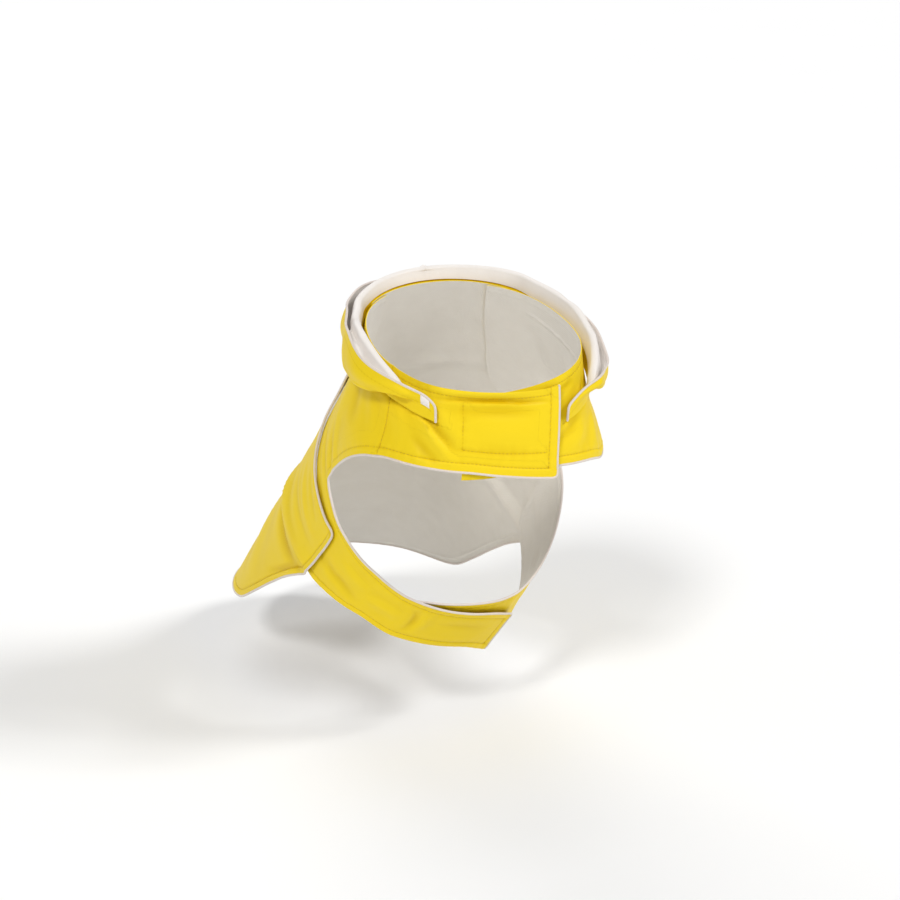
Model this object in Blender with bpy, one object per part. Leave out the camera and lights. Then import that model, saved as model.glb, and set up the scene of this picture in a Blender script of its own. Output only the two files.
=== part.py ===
"""Dog raincoat, worn: a hollow coat of coated cloth on a general four-legged torso.

Frame: millimetres in the tables, metres in Blender, +Z up. The wearer faces -Y and their
left side is +X. The origin is on the wearer's back at the withers, where the coat hangs.

The coat is cut on a "form": a tube of rings from the neck edge (station -40) to the
rump (station 300). A place on the form is a station, in mm along the side, and an
angle in degrees round the ring: 0 at the spine, 90 at the wearer's right flank, 180 at
the chest and belly, 270 at the left flank. A lift is a distance outward from the form.
"""

import math

import bmesh
import bpy
import numpy as np

# ---- driving dimensions, mm ---------------------------------------------------------
MM = 0.001
CLOTH = 1.2              # coated shell cloth
LINING = 0.8             # hood lining
PAD = 0.8                # hook tape and loop tape
GAP = 0.3                # between pieces that are sewn or lie together
LINING_GAP = 0.4         # between the hood's shell and its lining
PIPING = 1.1             # radius of the piping cord
PIPING_REACH = PIPING + 1.5 * GAP             # from a cloth edge to its cord's middle
OVERLAP_LIFT = CLOTH + 2 * PAD + 3 * GAP      # the outer flap's clear height over the form
SADDLE_LIFT = CLOTH / 2 + PIPING + GAP        # the back panel's cord clears the side panels

# ---- the form -----------------------------------------------------------------------
# One row a ring, with the columns station, spine y and z, breast y and z in the plane of
# symmetry, half width, and taper: how much narrower the ring is above than below.
RINGS = (
    (-40, -18, 40, -122, -10, 69, 0.08),
    (0, 0, 0, -128, -46, 71, 0.10),
    (25, 11, -22, -133, -70, 75, 0.13),
    (50, 25, -43, -135, -96, 83, 0.16),
    (90, 52, -73, -114, -140, 85, 0.10),
    (130, 82, -104, -80, -182, 84, 0.04),
    (170, 115, -136, -48, -220, 84, 0.00),
    (210, 150, -169, -18, -256, 84, -0.04),
    (250, 187, -203, 12, -290, 86, -0.05),
    (300, 231, -245, 48, -330, 88, -0.06),
)
SQUARENESS = 0.05        # how far the rings' corners stand out past an ellipse

# ---- outlines on the form: (station, angle) -----------------------------------------
# Right-hand side edge of the back panel, from the neck to the hem's corner.
SADDLE_EDGE = (
    (-9, 44.5), (20, 46), (60, 49), (86, 54), (97, 62), (106, 70), (112, 78), (117, 88),
    (122, 99), (126, 108), (140, 107), (156, 105), (170, 103.5), (181, 102),
)
SADDLE_SPINE = (-9, 322)        # stations of the back panel's two ends at the spine
# The hem's shape: the share of the angle to its corner, and the share of the way from the
# spine's station to the corner's. Ahead of HEM_BLEND the rows of the panel are plain arcs.
HEM_SHAPE = ((0, 0), (0.25, 0.03), (0.45, 0.10), (0.58, 0.17), (0.69, 0.28), (0.76, 0.46), (0.83, 0.66),
             (0.91, 0.85), (1, 1))
HEM_BLEND = (0.45, 1.0)
SADDLE_ROWS, SADDLE_COLUMNS = 29, 25
# Folds of the back panel at each flank: station at FOLD_ANGLE, growth by angle, height,
# and width ahead of the ridge and behind it.
FOLD_ANGLE = 70
MAIN_FOLD = (171, 0.10, 3.2, 11.0, 5.0)
SOFT_FOLD = (143, 0.12, 1.0, 11.0, 11.0)
FOLD_REACH = (34, 62)            # angles over which the folds grow from the spine outwards
FOLD_FADE = (92, 106, 0.45)      # angles over which they lose this share at the edge

# A side panel, row by row from the neck to the belly closure, with the columns rear
# station, rear angle, front station, front angle. Each row runs from the edge under the
# back panel, or the belly band's lower edge, to the chest seam, then the armhole, then
# the belly band's upper edge.
SIDE_RIGHT = (
    (-9, 33, -16, 118), (10, 34, 12, 118), (40, 37, 44, 119.5),
    (60, 39, 49, 112), (74, 42, 57.5, 104), (84, 46, 71, 96), (92, 52, 85, 91),
    (98, 60, 97, 89), (106, 68, 102, 92), (114, 78, 107, 98), (128, 90, 115, 107),
    (150, 91, 121, 117), (166, 91, 128, 128), (177, 94, 134, 139), (180, 105, 137, 145),
    (178, 118, 141, 152), (177, 134, 146, 160), (182.5, 153, 152, 170), (190, 171, 158, 182),
    (198, 188, 165, 195.5), (212, 203, 178.5, 210),
)
SIDE_LEFT = (
    (-9, 33, -16, 118), (10, 34, 12, 118), (40, 37, 57, 119.5),
    (60, 39, 62, 111), (74, 42, 68, 103), (84, 46, 77, 96), (92, 52, 87, 91),
    (98, 60, 97, 89), (106, 68, 102, 92), (114, 78, 107, 98), (128, 90, 117, 108),
    (150, 91, 130, 119), (166, 91, 142, 129), (180, 95, 152, 139), (188, 106, 156, 145),
    (196, 120, 158, 152), (201, 135, 157, 160), (200, 152, 154, 171), (193, 169, 151, 183),
    (183, 187, 148, 196), (174, 205, 146, 206),
)
SIDE_CORNER_ROW = 2              # the row at the foot of the chest seam
SIDE_BAND_ROW = 8                # past this row the outer band may rise over the inner one
ROWS_A_STEP = 2                  # grid rows from one row of these tables to the next
SIDE_COLUMNS = 9                 # grid columns across a side panel
FLAP_ROWS, FLAP_COLUMNS = 9, 17
# Chest flaps: the neck edge and the hem by angle, and the free front edge by station.
NECK_EDGE = ((118, -16), (150, -14), (180, -11), (210, -8))
HEM_RIGHT = ((118, 44.8), (121, 43), (126, 41.2), (134, 39.8), (146, 38.8), (158, 39), (173, 41.8),
             (198, 48.3), (215, 52.5))
HEM_LEFT = ((118, 57.5), (128, 56), (140, 49), (151, 45), (162, 42.5), (180, 42), (190, 44), (215, 45.5))
FRONT_EDGE_RIGHT = ((-20, 206), (0, 204.5), (24, 200.5), (44, 197), (60, 196))
FRONT_EDGE_LEFT = ((-20, 204), (60, 202))
CHEST_RAMP = (124, 150)          # angles over which the outer flap rises over the inner one
BELLY_RAMP = (132, 151)          # the same for the outer belly band
# Tapes between the overlapping ends: angles, stations, and the stations' slant by angle.
CHEST_PAD = ((158, 193), (2, 29), 0.0)
BELLY_PAD = ((168, 197), (163, 178), 0.42)

# ---- the dropped hood ---------------------------------------------------------------
# One row a section, by angle (right side positive, 0 at the spine, so left is negative).
# "seam" is the station where it is sewn on. Each section leaves the seam, climbs to a
# crest, turns down to the roll, and comes up round a bulge to the free edge; these
# places are distances outward and upward from the seam.
HOOD_COLUMNS = ("angle", "seam", "crest_out", "crest_up", "roll_out", "roll_up",
                "bulge_out", "bulge_up", "edge_out", "edge_up")
HOOD_ROWS = (
    (143.5, 10, 0.4, 4, 0.6, 6.2, 0.8, 8.4, 0.8, 10.5),
    (140, 9, 0.6, 6, 1.2, 8.5, 2.0, 11, 1.8, 14),
    (134, 7.5, 1.0, 8.0, 2.8, 9.5, 4.6, 12, 4.6, 16),
    (130, 6.7, 1.2, 12, 5.8, 8.5, 8.4, 12.5, 7.4, 17),
    (126, 6, 1.5, 15, 7.4, 8.5, 10.4, 13, 9.4, 18),
    (112, 5, 2.5, 22, 9.5, 2, 14.5, 9, 12.5, 20),
    (90, 3, 3.0, 24, 9.8, -6, 13.2, 3, 11, 23),
    (65, 1, 2.0, 14, 6.8, -11, 10.6, -2, 8.0, 13),
    (45, 0, 3.0, 12, 11, -22, 17, -10, 12, 8),
    (25, 0, 5.0, 13, 24, -42, 33, -24, 22, 6),
    (0, 0, 7.0, 14, 42, -60, 55, -38, 32, 2),
    (-25, 0, 6.0, 15, 28, -44, 38, -26, 26, 6),
    (-45, 0, 5.0, 17, 17, -28, 25, -14, 20, 8),
    (-65, 1, 5.0, 19, 14, -17, 21, -6, 18, 9),
    (-90, 4, 6.0, 21, 15, -11, 22, -3, 21, 5),
    (-100, 6, 5.5, 20, 13, -11, 18.5, -5, 18.5, 2),
    (-112, 8, 4.5, 18, 9.5, -9, 13.5, -4, 14, 4),
    (-120, 10, 3.0, 15, 7.2, -4, 10, 0, 10, 8),
    (-128, 12, 1.8, 12, 6.2, 3, 9.0, 7, 8.4, 12),
    (-131, 12.8, 1.3, 9, 5.2, 5.5, 8.4, 9, 7.6, 13),
    (-134, 13.5, 1.0, 7, 3.4, 6.8, 5.8, 9, 5.8, 13.5),
    (-139, 14.5, 0.9, 6.5, 2.2, 8, 3.6, 10.5, 3.4, 14),
    (-146, 16, 0.6, 5, 1.0, 7.5, 1.6, 10, 1.4, 12.5),
    (-151.5, 17, 0.4, 3.6, 0.6, 5.4, 0.8, 7.6, 0.8, 9.5),
)
CREST_RADIUS = 1.5               # of the turn at the crest, with the shell inside it
ROLL_RADIUS = 2.4                # of the turn at the roll, with the lining inside it
FOLD_RAMP = (0, 9)               # drop from crest to roll over which the turns form
OPEN_CREST, OPEN_ROLL = 0.30, 0.50    # how far the rounding reaches where there is no fold
HOOD_SEAM_LIFT = 2 * GAP + LINING_GAP + LINING     # room for the lining between hood and coat
# Grid lines along a section: one at each of its places, and two more halfway.
HOOD_LINES = (0, 0.5, 1, 2, 3, 4, 5, 6, 7, 8, 9, 10, 11, 11.5, 12)
HOOD_COLUMNS_A_SIDE = 23         # sections from a front end to the centre seam
HOOD_CROWDING = 1.35             # above 1, the sections crowd towards the front end
TAB = ((138.0, 141.5), (9, 13))  # angles of the tab, and its first and last grid lines

# ---- piping -------------------------------------------------------------------------
CORNER_CUT = 0.24                # how far a corner of the piping is cut
LEAST_STEP = 1.7                 # least step along a piping path, in cord radii
COVERED_COLUMNS = 5              # columns at the inner flap's free end, which has no piping
BACK_PIPING_START = 9            # station under the hood where the back panel's piping starts

COLLECTION = "dog_raincoat"


# ---- curves -------------------------------------------------------------------------
def smooth(x, knots, values):
    """Smooth curve through the values: a cubic in each interval, tangents by difference."""
    knots, values = np.asarray(knots, float), np.asarray(values, float)
    slope = np.gradient(values, knots)
    return hermite(x, knots, values, slope)


def monotone(x, knots, values):
    """Smooth curve through the values that never overshoots them (harmonic-mean tangents)."""
    knots, values = np.asarray(knots, float), np.asarray(values, float)
    step = np.diff(values) / np.diff(knots)
    slope = np.zeros_like(values)
    same = step[1:] * step[:-1] > 0
    total = np.where(same, step[1:] + step[:-1], 1.0)
    slope[1:-1] = np.where(same, 2 * step[1:] * step[:-1] / total, 0.0)
    slope[0], slope[-1] = step[0], step[-1]
    return hermite(x, knots, values, slope)


def cornered(x, knots, values, corner):
    """Monotone curve in two parts, with a corner at one knot."""
    before = monotone(x, knots[:corner + 1], values[:corner + 1])
    after = monotone(x, knots[corner:], values[corner:])
    return np.where(x < knots[corner], before, after)


def hermite(x, knots, values, slope):
    """Cubic Hermite interpolation, clamped to the end intervals."""
    x = np.asarray(x, float)
    i = np.clip(np.searchsorted(knots, x) - 1, 0, len(knots) - 2)
    width = knots[i + 1] - knots[i]
    t = np.clip((x - knots[i]) / width, -0.5, 1.5)
    return ((2 * t**3 - 3 * t**2 + 1) * values[i] + (t**3 - 2 * t**2 + t) * width * slope[i]
            + (3 * t**2 - 2 * t**3) * values[i + 1] + (t**3 - t**2) * width * slope[i + 1])


def ramp(x, low, high):
    """Smooth step from 0 at low to 1 at high."""
    t = np.clip((np.asarray(x, float) - low) / (high - low), 0, 1)
    return t * t * (3 - 2 * t)


def bump(x, centre, width):
    """Bell curve of height 1."""
    return np.exp(-((np.asarray(x, float) - centre) / width) ** 2)


# ---- the form -----------------------------------------------------------------------
def form_base(station, angle):
    """Point on the bare form.

    A ring is x = -w sin(a) g (1 - taper cos a), with the point in the plane of symmetry
    running from breast to spine as g cos a, where g = 1 + SQUARENESS sin(2a)^2.
    """
    table = np.array(RINGS, float)
    spine_y, spine_z, breast_y, breast_z, width, taper = (
        smooth(station, table[:, 0], table[:, column]) for column in range(1, 7))
    turn = np.radians(angle)
    c, s = np.cos(turn), np.sin(turn)
    g = 1 + SQUARENESS * np.sin(2 * turn) ** 2
    return np.stack([-width * s * g * (1 - taper * c),
                     (spine_y + breast_y) / 2 + (spine_y - breast_y) / 2 * c * g,
                     (spine_z + breast_z) / 2 + (spine_z - breast_z) / 2 * c * g], -1)


def form_normal(station, angle):
    """Outward unit normal of the form, from central differences."""
    along = form_base(station + 0.5, angle) - form_base(station - 0.5, angle)
    around = form_base(station, angle + 0.3) - form_base(station, angle - 0.3)
    normal = np.cross(along, around)
    return normal / np.linalg.norm(normal, axis=-1, keepdims=True)


def form_point(station, angle, lift=0.0):
    """Point on the form, moved outward by the lift."""
    station, angle, lift = np.broadcast_arrays(
        np.asarray(station, float), np.asarray(angle, float), np.asarray(lift, float))
    return form_base(station, angle) + form_normal(station, angle) * lift[..., None]


# ---- panels -------------------------------------------------------------------------
class Panel:
    """A grid on the form: stations, angles and the lift of the cloth's inner face."""

    def __init__(self, station, angle, lift, thickness=CLOTH):
        self.station, self.angle = station, angle
        self.lift, self.thickness = lift, thickness

    def face(self, share):
        """Grid of points through the wall: share 0 is the inner face, 1 the outer."""
        return form_point(self.station, self.angle, self.lift + share * self.thickness)


def saddle_fold(station, angle):
    """Outward lift of the back panel's folds at each flank, in front of the hem's corner."""
    side = np.abs(angle)
    lift = 0 * side
    for at, growth, height, ahead, behind in (MAIN_FOLD, SOFT_FOLD):
        ridge = at + growth * (side - FOLD_ANGLE)
        lift = lift + height * bump(station, ridge, np.where(station > ridge, behind, ahead))
    return lift * ramp(side, *FOLD_REACH) * (1 - FOLD_FADE[2] * ramp(side, *FOLD_FADE[:2]))


def back_panel():
    """The back panel, or saddle: from the neck to the rounded hem, both sides at once."""
    edge = np.array(SADDLE_EDGE, float)
    share = np.linspace(0, 1, SADDLE_ROWS)
    knots = np.linspace(0, 1, len(edge))
    edge_station = monotone(share, knots, edge[:, 0])[:, None]
    edge_angle = monotone(share, knots, edge[:, 1])[:, None]
    across = np.linspace(-1, 1, SADDLE_COLUMNS)[None, :]
    spine = (SADDLE_SPINE[0] + (SADDLE_SPINE[1] - SADDLE_SPINE[0]) * share)[:, None]
    hem = np.array(HEM_SHAPE, float)
    blend = ramp(share, *HEM_BLEND)[:, None]
    bend = (1 - blend) * across**2 + blend * monotone(np.abs(across), hem[:, 0], hem[:, 1])
    station = spine + (edge_station - spine) * bend
    angle = edge_angle * across
    lift = SADDLE_LIFT + saddle_fold(station, angle)
    return Panel(station, angle, lift)


def side_panel(table, outer):
    """A side panel: shoulder, strip behind the armhole, and belly band.

    The outer one of the two belly bands rises over the inner one near its end.
    """
    rows = np.array(table, float)
    knots = np.arange(len(rows))
    line = np.linspace(0, len(rows) - 1, ROWS_A_STEP * (len(rows) - 1) + 1)
    rear_station, rear_angle, front_station, front_angle = (
        cornered(line, knots, rows[:, column], SIDE_CORNER_ROW)[:, None] for column in range(4))
    across = np.linspace(0, 1, SIDE_COLUMNS)[None, :]
    station = rear_station + (front_station - rear_station) * across
    angle = rear_angle + (front_angle - rear_angle) * across
    lift = 0 * angle
    if outer:
        lift = OVERLAP_LIFT * ramp(angle, *BELLY_RAMP) * (line[:, None] > SIDE_BAND_ROW)
    return Panel(station, angle, lift)


def chest_flap(hem, front_edge, outer):
    """A chest flap, from its seam to the free front edge; the outer one rises."""
    seam = side_seam_angle(hem)
    hem, front_edge, neck = (np.array(table, float) for table in (hem, front_edge, NECK_EDGE))
    down = np.linspace(0, 1, FLAP_ROWS)[:, None]
    across = np.linspace(0, 1, FLAP_COLUMNS)[None, :]
    station = neck[0, 1] + (hem[0, 1] - neck[0, 1]) * down + 0 * across
    for _ in range(6):           # the two outlines depend on each other, so settle them
        left = monotone(station[:, :1], seam[:, 0], seam[:, 1])
        right = monotone(station[:, -1:], front_edge[:, 0], front_edge[:, 1])
        angle = left + (right - left) * across
        top = monotone(angle, neck[:, 0], neck[:, 1])
        bottom = monotone(angle, hem[:, 0], hem[:, 1])
        station = top + (bottom - top) * down
    lift = OVERLAP_LIFT * ramp(angle, *CHEST_RAMP) if outer else 0 * angle
    return Panel(station, angle, lift)


def side_seam_angle(hem):
    """The chest seam by station: the side panel's front edge, moved on by the seam gap."""
    rows = np.array(SIDE_RIGHT if hem is HEM_RIGHT else SIDE_LEFT, float)[:SIDE_CORNER_ROW + 1]
    step = math.degrees(GAP / RINGS[2][5])       # the gap at the ring of station 25
    return np.stack([rows[:, 2], rows[:, 3] + step], 1)


def mirrored(points):
    """The same points on the other side of the plane of symmetry."""
    return points * np.array([-1.0, 1.0, 1.0])


# ---- the hood -----------------------------------------------------------------------
def coat_outer(angle):
    """Lift of the coat's outer face at the neck, by signed angle (right side positive)."""
    side = np.abs(angle)
    saddle = SADDLE_LIFT * (1 - ramp(side, 48, 60))
    flap = np.where(np.asarray(angle) > 0, OVERLAP_LIFT * ramp(angle, *CHEST_RAMP), 0.0)
    return CLOTH + saddle + flap


def hood_stops(row):
    """The 13 places that one section passes through: (out, up) from its foot at the seam.

    Where the cloth is folded, the crest and the roll are half circles of five places.
    Towards the front ends the fold opens, and they become shallow rounded corners.
    """
    foot = np.zeros(2)
    crest, roll, bulge, edge = (np.array([row[f"{name}_out"], row[f"{name}_up"]])
                                for name in ("crest", "roll", "bulge", "edge"))
    fold = ramp(crest[1] - roll[1], *FOLD_RAMP)
    turn = np.radians([-90, -45, 0, 45, 90])

    def turned(before, place, after, radius, reach):
        circle = np.stack([abs(radius) * np.sin(turn), radius * (np.cos(turn) - 1)], 1)
        t = np.linspace(0, 1, len(turn))[:, None]
        corner = reach * ((1 - t) ** 2 * (before - place) + t**2 * (after - place))
        return place + fold * circle + (1 - fold) * corner

    return np.vstack([foot, turned(foot, crest, roll, CREST_RADIUS, OPEN_CREST),
                      turned(crest, roll, bulge, -ROLL_RADIUS, OPEN_ROLL), bulge, edge])


def hood_sections(angles):
    """Sections of the hood's cloth, halfway through its wall.

    Each section is a smooth curve, by chord length, through its places in the plane of
    the outward direction and +Z. Returns the grid of points, the grid of unit normals
    towards the lining, and the line of the seam, nearer the coat than the first points.
    """
    table = np.array(HOOD_ROWS, float)[::-1]
    points, normals, seam = [], [], []
    for angle in angles:
        row = {name: float(smooth(angle, table[:, 0], table[:, i + 1]))
               for i, name in enumerate(HOOD_COLUMNS[1:])}
        lift = coat_outer(angle) + CLOTH / 2
        seam.append(form_point(row["seam"], angle, lift + GAP))
        foot = form_point(row["seam"], angle, lift + HOOD_SEAM_LIFT)
        outward = form_normal(row["seam"], angle) * np.array([1.0, 1.0, 0.0])
        outward = outward / np.linalg.norm(outward)
        stops = hood_stops(row)
        chord = np.concatenate([[0], np.cumsum(np.linalg.norm(np.diff(stops, axis=0), axis=1))])
        reach = np.interp(HOOD_LINES, np.arange(len(chord)), chord)
        flat, ahead, behind = (np.stack([smooth(reach + step, chord, stops[:, i]) for i in range(2)], 1)
                               for step in (0.0, 0.2, -0.2))
        tangent = ahead - behind
        tangent = tangent / np.linalg.norm(tangent, axis=1, keepdims=True)
        toward = np.stack([-tangent[:, 1], tangent[:, 0]], 1)
        frame = np.stack([outward, [0.0, 0.0, 1.0]])
        points.append(foot + flat @ frame)
        normals.append(toward @ frame)
    return np.array(points), np.array(normals), np.array(seam)


def hood_angles(side):
    """Angles of one half of the hood, from its front end to the centre seam."""
    ends = [row[0] for row in HOOD_ROWS]
    seam = math.degrees(GAP / 2 / RINGS[1][5])
    front = ends[0] if side > 0 else ends[-1]
    return front + (side * seam - front) * np.linspace(0, 1, HOOD_COLUMNS_A_SIDE) ** HOOD_CROWDING


# ---- piping -------------------------------------------------------------------------
def beside(points, inner, normals, distance):
    """Points moved off an edge, in the cloth's surface and away from its inner neighbours."""
    tangent = np.gradient(points, axis=0)
    away = np.cross(tangent, normals)
    away = away / np.linalg.norm(away, axis=1, keepdims=True)
    sign = np.sign(np.sum((points - inner) * away, axis=1, keepdims=True))
    return points + away * sign * distance


def panel_edge(panel, border, first=None, last=None):
    """The piping's run beside one border of a panel."""
    middle = panel.face(0.5)
    normal = form_normal(panel.station, panel.angle)
    pick = {"front": (np.s_[:, -1], np.s_[:, -2]), "rear": (np.s_[:, 0], np.s_[:, 1]),
            "last": (np.s_[-1, :], np.s_[-2, :])}[border]
    run = beside(middle[pick[0]], middle[pick[1]], normal[pick[0]], PIPING_REACH)
    return run[first:last]


def join_runs(*runs):
    """One path through several runs; where two meet, their ends become one rounded corner.

    The corner's own point moves CORNER_CUT of the way to the middle of its neighbours.
    """
    path = [runs[0]]
    for run in runs[1:]:
        before, after = path[-1], run
        corner = meeting(before[-2], before[-1], after[0], after[1])
        path[-1] = np.vstack([before[:-1], corner + unit(before[-2] - corner) * 2 * PIPING])
        start = np.vstack([corner + unit(after[1] - corner) * 2 * PIPING, after[1:]])
        between = (path[-1][-1] + start[0]) / 2
        path.append(np.vstack([between * CORNER_CUT + corner * (1 - CORNER_CUT), start]))
    return thinned(np.vstack(path), LEAST_STEP * PIPING)


def meeting(a, b, c, d):
    """Midpoint of the closest approach of the lines a-b and d-c, past both ends."""
    u, v = unit(b - a), unit(c - d)
    across = np.cross(u, v)
    size = across @ across
    if size < 0.05:              # nearly parallel
        return (b + c) / 2
    s = np.cross(c - b, v) @ across / size
    t = np.cross(c - b, u) @ across / size
    return (b + u * s + c + v * t) / 2


def unit(vector):
    """The vector at length 1."""
    return vector / np.linalg.norm(vector)


def thinned(points, least):
    """The path without points nearer than the least distance to the one before."""
    kept = [points[0]]
    for point in points[1:]:
        if np.linalg.norm(point - kept[-1]) >= least:
            kept.append(point)
    return np.array(kept)


# ---- Blender objects ----------------------------------------------------------------
def material(name, colour, roughness):
    """A plain Principled BSDF material."""
    made = bpy.data.materials.new(name)
    made.use_nodes = True
    shader = made.node_tree.nodes["Principled BSDF"]
    shader.inputs["Base Color"].default_value = (*colour, 1.0)
    shader.inputs["Roughness"].default_value = roughness
    shader.inputs["Metallic"].default_value = 0.0
    made.diffuse_color = (*colour, 1.0)
    return made


def add(name, data, finish, collection):
    """Link an object with one material to the coat's collection."""
    data.materials.append(finish)
    made = bpy.data.objects.new(name, data)
    collection.objects.link(made)
    return made


def wall(name, inner, outer, finish, collection):
    """A closed wall between two grids of points, given in mm."""
    rows, columns = inner.shape[:2]
    data = bpy.data.meshes.new(name)
    mesh = bmesh.new()
    sheets = [[[mesh.verts.new([value * MM for value in grid[i, j]]) for j in range(columns)]
               for i in range(rows)] for grid in (inner, outer)]
    for sheet in sheets:
        for i in range(rows - 1):
            for j in range(columns - 1):
                mesh.faces.new((sheet[i][j], sheet[i][j + 1], sheet[i + 1][j + 1], sheet[i + 1][j]))
    rim = ([(0, j) for j in range(columns)] + [(i, columns - 1) for i in range(1, rows)]
           + [(rows - 1, j) for j in range(columns - 2, -1, -1)] + [(i, 0) for i in range(rows - 2, 0, -1)])
    for a, b in zip(rim, rim[1:] + rim[:1]):
        mesh.faces.new((sheets[0][a[0]][a[1]], sheets[0][b[0]][b[1]],
                        sheets[1][b[0]][b[1]], sheets[1][a[0]][a[1]]))
    bmesh.ops.recalc_face_normals(mesh, faces=mesh.faces)
    mesh.to_mesh(data)
    mesh.free()
    data.shade_smooth()
    data.set_sharp_from_angle(angle=math.radians(40))
    return add(name, data, finish, collection)


def tube(name, points, finish, collection):
    """A piping cord along a path, given in mm."""
    data = bpy.data.curves.new(name, "CURVE")
    data.dimensions = "3D"
    data.bevel_depth = PIPING * MM
    data.bevel_resolution = 2
    data.use_fill_caps = True
    spline = data.splines.new("POLY")
    spline.points.add(len(points) - 1)
    for knot, point in zip(spline.points, points):
        knot.co = (*[value * MM for value in point], 1.0)
    return add(name, data, finish, collection)


# ---- the coat -----------------------------------------------------------------------
def pad_grid(area, lift):
    """A tape between the overlapping flaps, as a small panel."""
    angles, stations, slant = area
    angle = np.linspace(*angles, 7)[None, :]
    down = np.linspace(*stations, 4)[:, None]
    station = down + slant * (angle - angles[0])
    return Panel(station, angle + 0 * down, 0 * station + lift, PAD)


def tab_grid():
    """The small tab on the hood's stand, near its right front end: inner and outer faces."""
    angles, lines = TAB
    points, normals = (grid[:, lines[0]:lines[1]] for grid in hood_sections(np.linspace(*angles, 3))[:2])
    return points - normals * (CLOTH / 2 + GAP + PAD), points - normals * (CLOTH / 2 + GAP)


def hood_path():
    """The hood's piping: up its right front end, along the free edge, and down the left."""
    right, right_normals = hood_sections(hood_angles(1))[:2]
    left, left_normals = hood_sections(hood_angles(-1))[:2]
    points = np.concatenate([right[:-1], left[::-1][1:]])
    normals = np.concatenate([right_normals[:-1], left_normals[::-1][1:]])
    rise = beside(points[0], points[1], normals[0], PIPING_REACH)
    brim = beside(points[:, -1], points[:, -2], normals[:, -1], PIPING_REACH)
    fall = beside(points[-1], points[-2], normals[-1], PIPING_REACH)[::-1]
    return join_runs(rise[::2], brim, fall[::2])


def back_path(saddle):
    """The back panel's piping: down the right edge, round the hem and up the left edge."""
    start = int(np.argmax(saddle.station[:, 0] > BACK_PIPING_START))
    left = panel_edge(saddle, "rear", start)
    right = panel_edge(saddle, "front", start)
    hem = panel_edge(saddle, "last")
    return join_runs(right, hem[::-1], left[::-1])


def edge_path(flap, side, first_column):
    """A front's piping: chest hem, armhole, the band's upper edge and its end."""
    hem = panel_edge(flap, "last")[::-1][first_column:]
    corner = ROWS_A_STEP * SIDE_CORNER_ROW
    armhole = panel_edge(side, "front", corner + 1)
    end = panel_edge(side, "last")[::-1]
    return np.vstack([hem, armhole]), end


def main():
    """Build the coat."""
    for old in list(bpy.data.objects):
        bpy.data.objects.remove(old, do_unlink=True)
    collection = bpy.data.collections.new(COLLECTION)
    bpy.context.scene.collection.children.link(collection)
    yellow = material("yellow_coated_cloth", (0.86, 0.62, 0.03), 0.42)
    white = material("white_lining", (0.80, 0.78, 0.76), 0.6)
    cord = material("white_piping", (0.85, 0.80, 0.79), 0.5)
    tape = material("tape", (0.75, 0.60, 0.10), 0.8)

    saddle = back_panel()
    side_right = side_panel(SIDE_RIGHT, outer=True)
    side_left = side_panel(SIDE_LEFT, outer=False)
    flap_right = chest_flap(HEM_RIGHT, FRONT_EDGE_RIGHT, outer=True)
    flap_left = chest_flap(HEM_LEFT, FRONT_EDGE_LEFT, outer=False)
    wall("back_panel", saddle.face(0), saddle.face(1), yellow, collection)
    wall("side_panel_right", side_right.face(0), side_right.face(1), yellow, collection)
    wall("side_panel_left", mirrored(side_left.face(0)), mirrored(side_left.face(1)), yellow, collection)
    wall("chest_flap_right", flap_right.face(0), flap_right.face(1), yellow, collection)
    wall("chest_flap_left", mirrored(flap_left.face(0)), mirrored(flap_left.face(1)), yellow, collection)

    for name, area in (("chest", CHEST_PAD), ("belly", BELLY_PAD)):
        for kind, lift in (("loop", CLOTH + GAP), ("hook", CLOTH + PAD + 2 * GAP)):
            pad = pad_grid(area, lift)
            wall(f"{name}_{kind}_tape", pad.face(0), pad.face(1), tape, collection)

    for side, word in ((1, "right"), (-1, "left")):
        points, normals, seam = hood_sections(hood_angles(side))
        shell = np.concatenate([seam[:, None], points[:, 1:]], axis=1)
        wall(f"hood_{word}", shell + normals * CLOTH / 2, shell - normals * CLOTH / 2, yellow, collection)
        points, normals = points[:, 1:], normals[:, 1:]
        near = CLOTH / 2 + LINING_GAP
        wall(f"hood_lining_{word}", points + normals * (near + LINING), points + normals * near,
             white, collection)
    inner, outer = tab_grid()
    wall("hood_tab", inner, outer, white, collection)

    tube("hood_piping", hood_path(), cord, collection)
    tube("back_piping", back_path(saddle), cord, collection)
    sweep, end = edge_path(flap_right, side_right, 0)
    tube("edge_piping_right", join_runs(panel_edge(flap_right, "front"), sweep, end), cord, collection)
    sweep, end = edge_path(flap_left, side_left, COVERED_COLUMNS)
    tube("edge_piping_left", mirrored(join_runs(sweep, end)), cord, collection)


if __name__ == "__main__":
    main()
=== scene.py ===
"""Looks of a worn dog raincoat: coated cloth panels, cord piping, a dropped lined hood and the sewing.

Tables and formulas are in millimetres and Blender's meshes in metres, +Z up. The wearer faces -Y and
their left side is +X. A place on the coat is a station along the body and an angle round it in
degrees (0 spine, 90 right flank, 180 chest and belly), with a lift outward from the wearer's form.
"""

from __future__ import annotations

import logging
import math
from dataclasses import dataclass, field
from enum import Enum
from typing import Any, Mapping, Sequence

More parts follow.
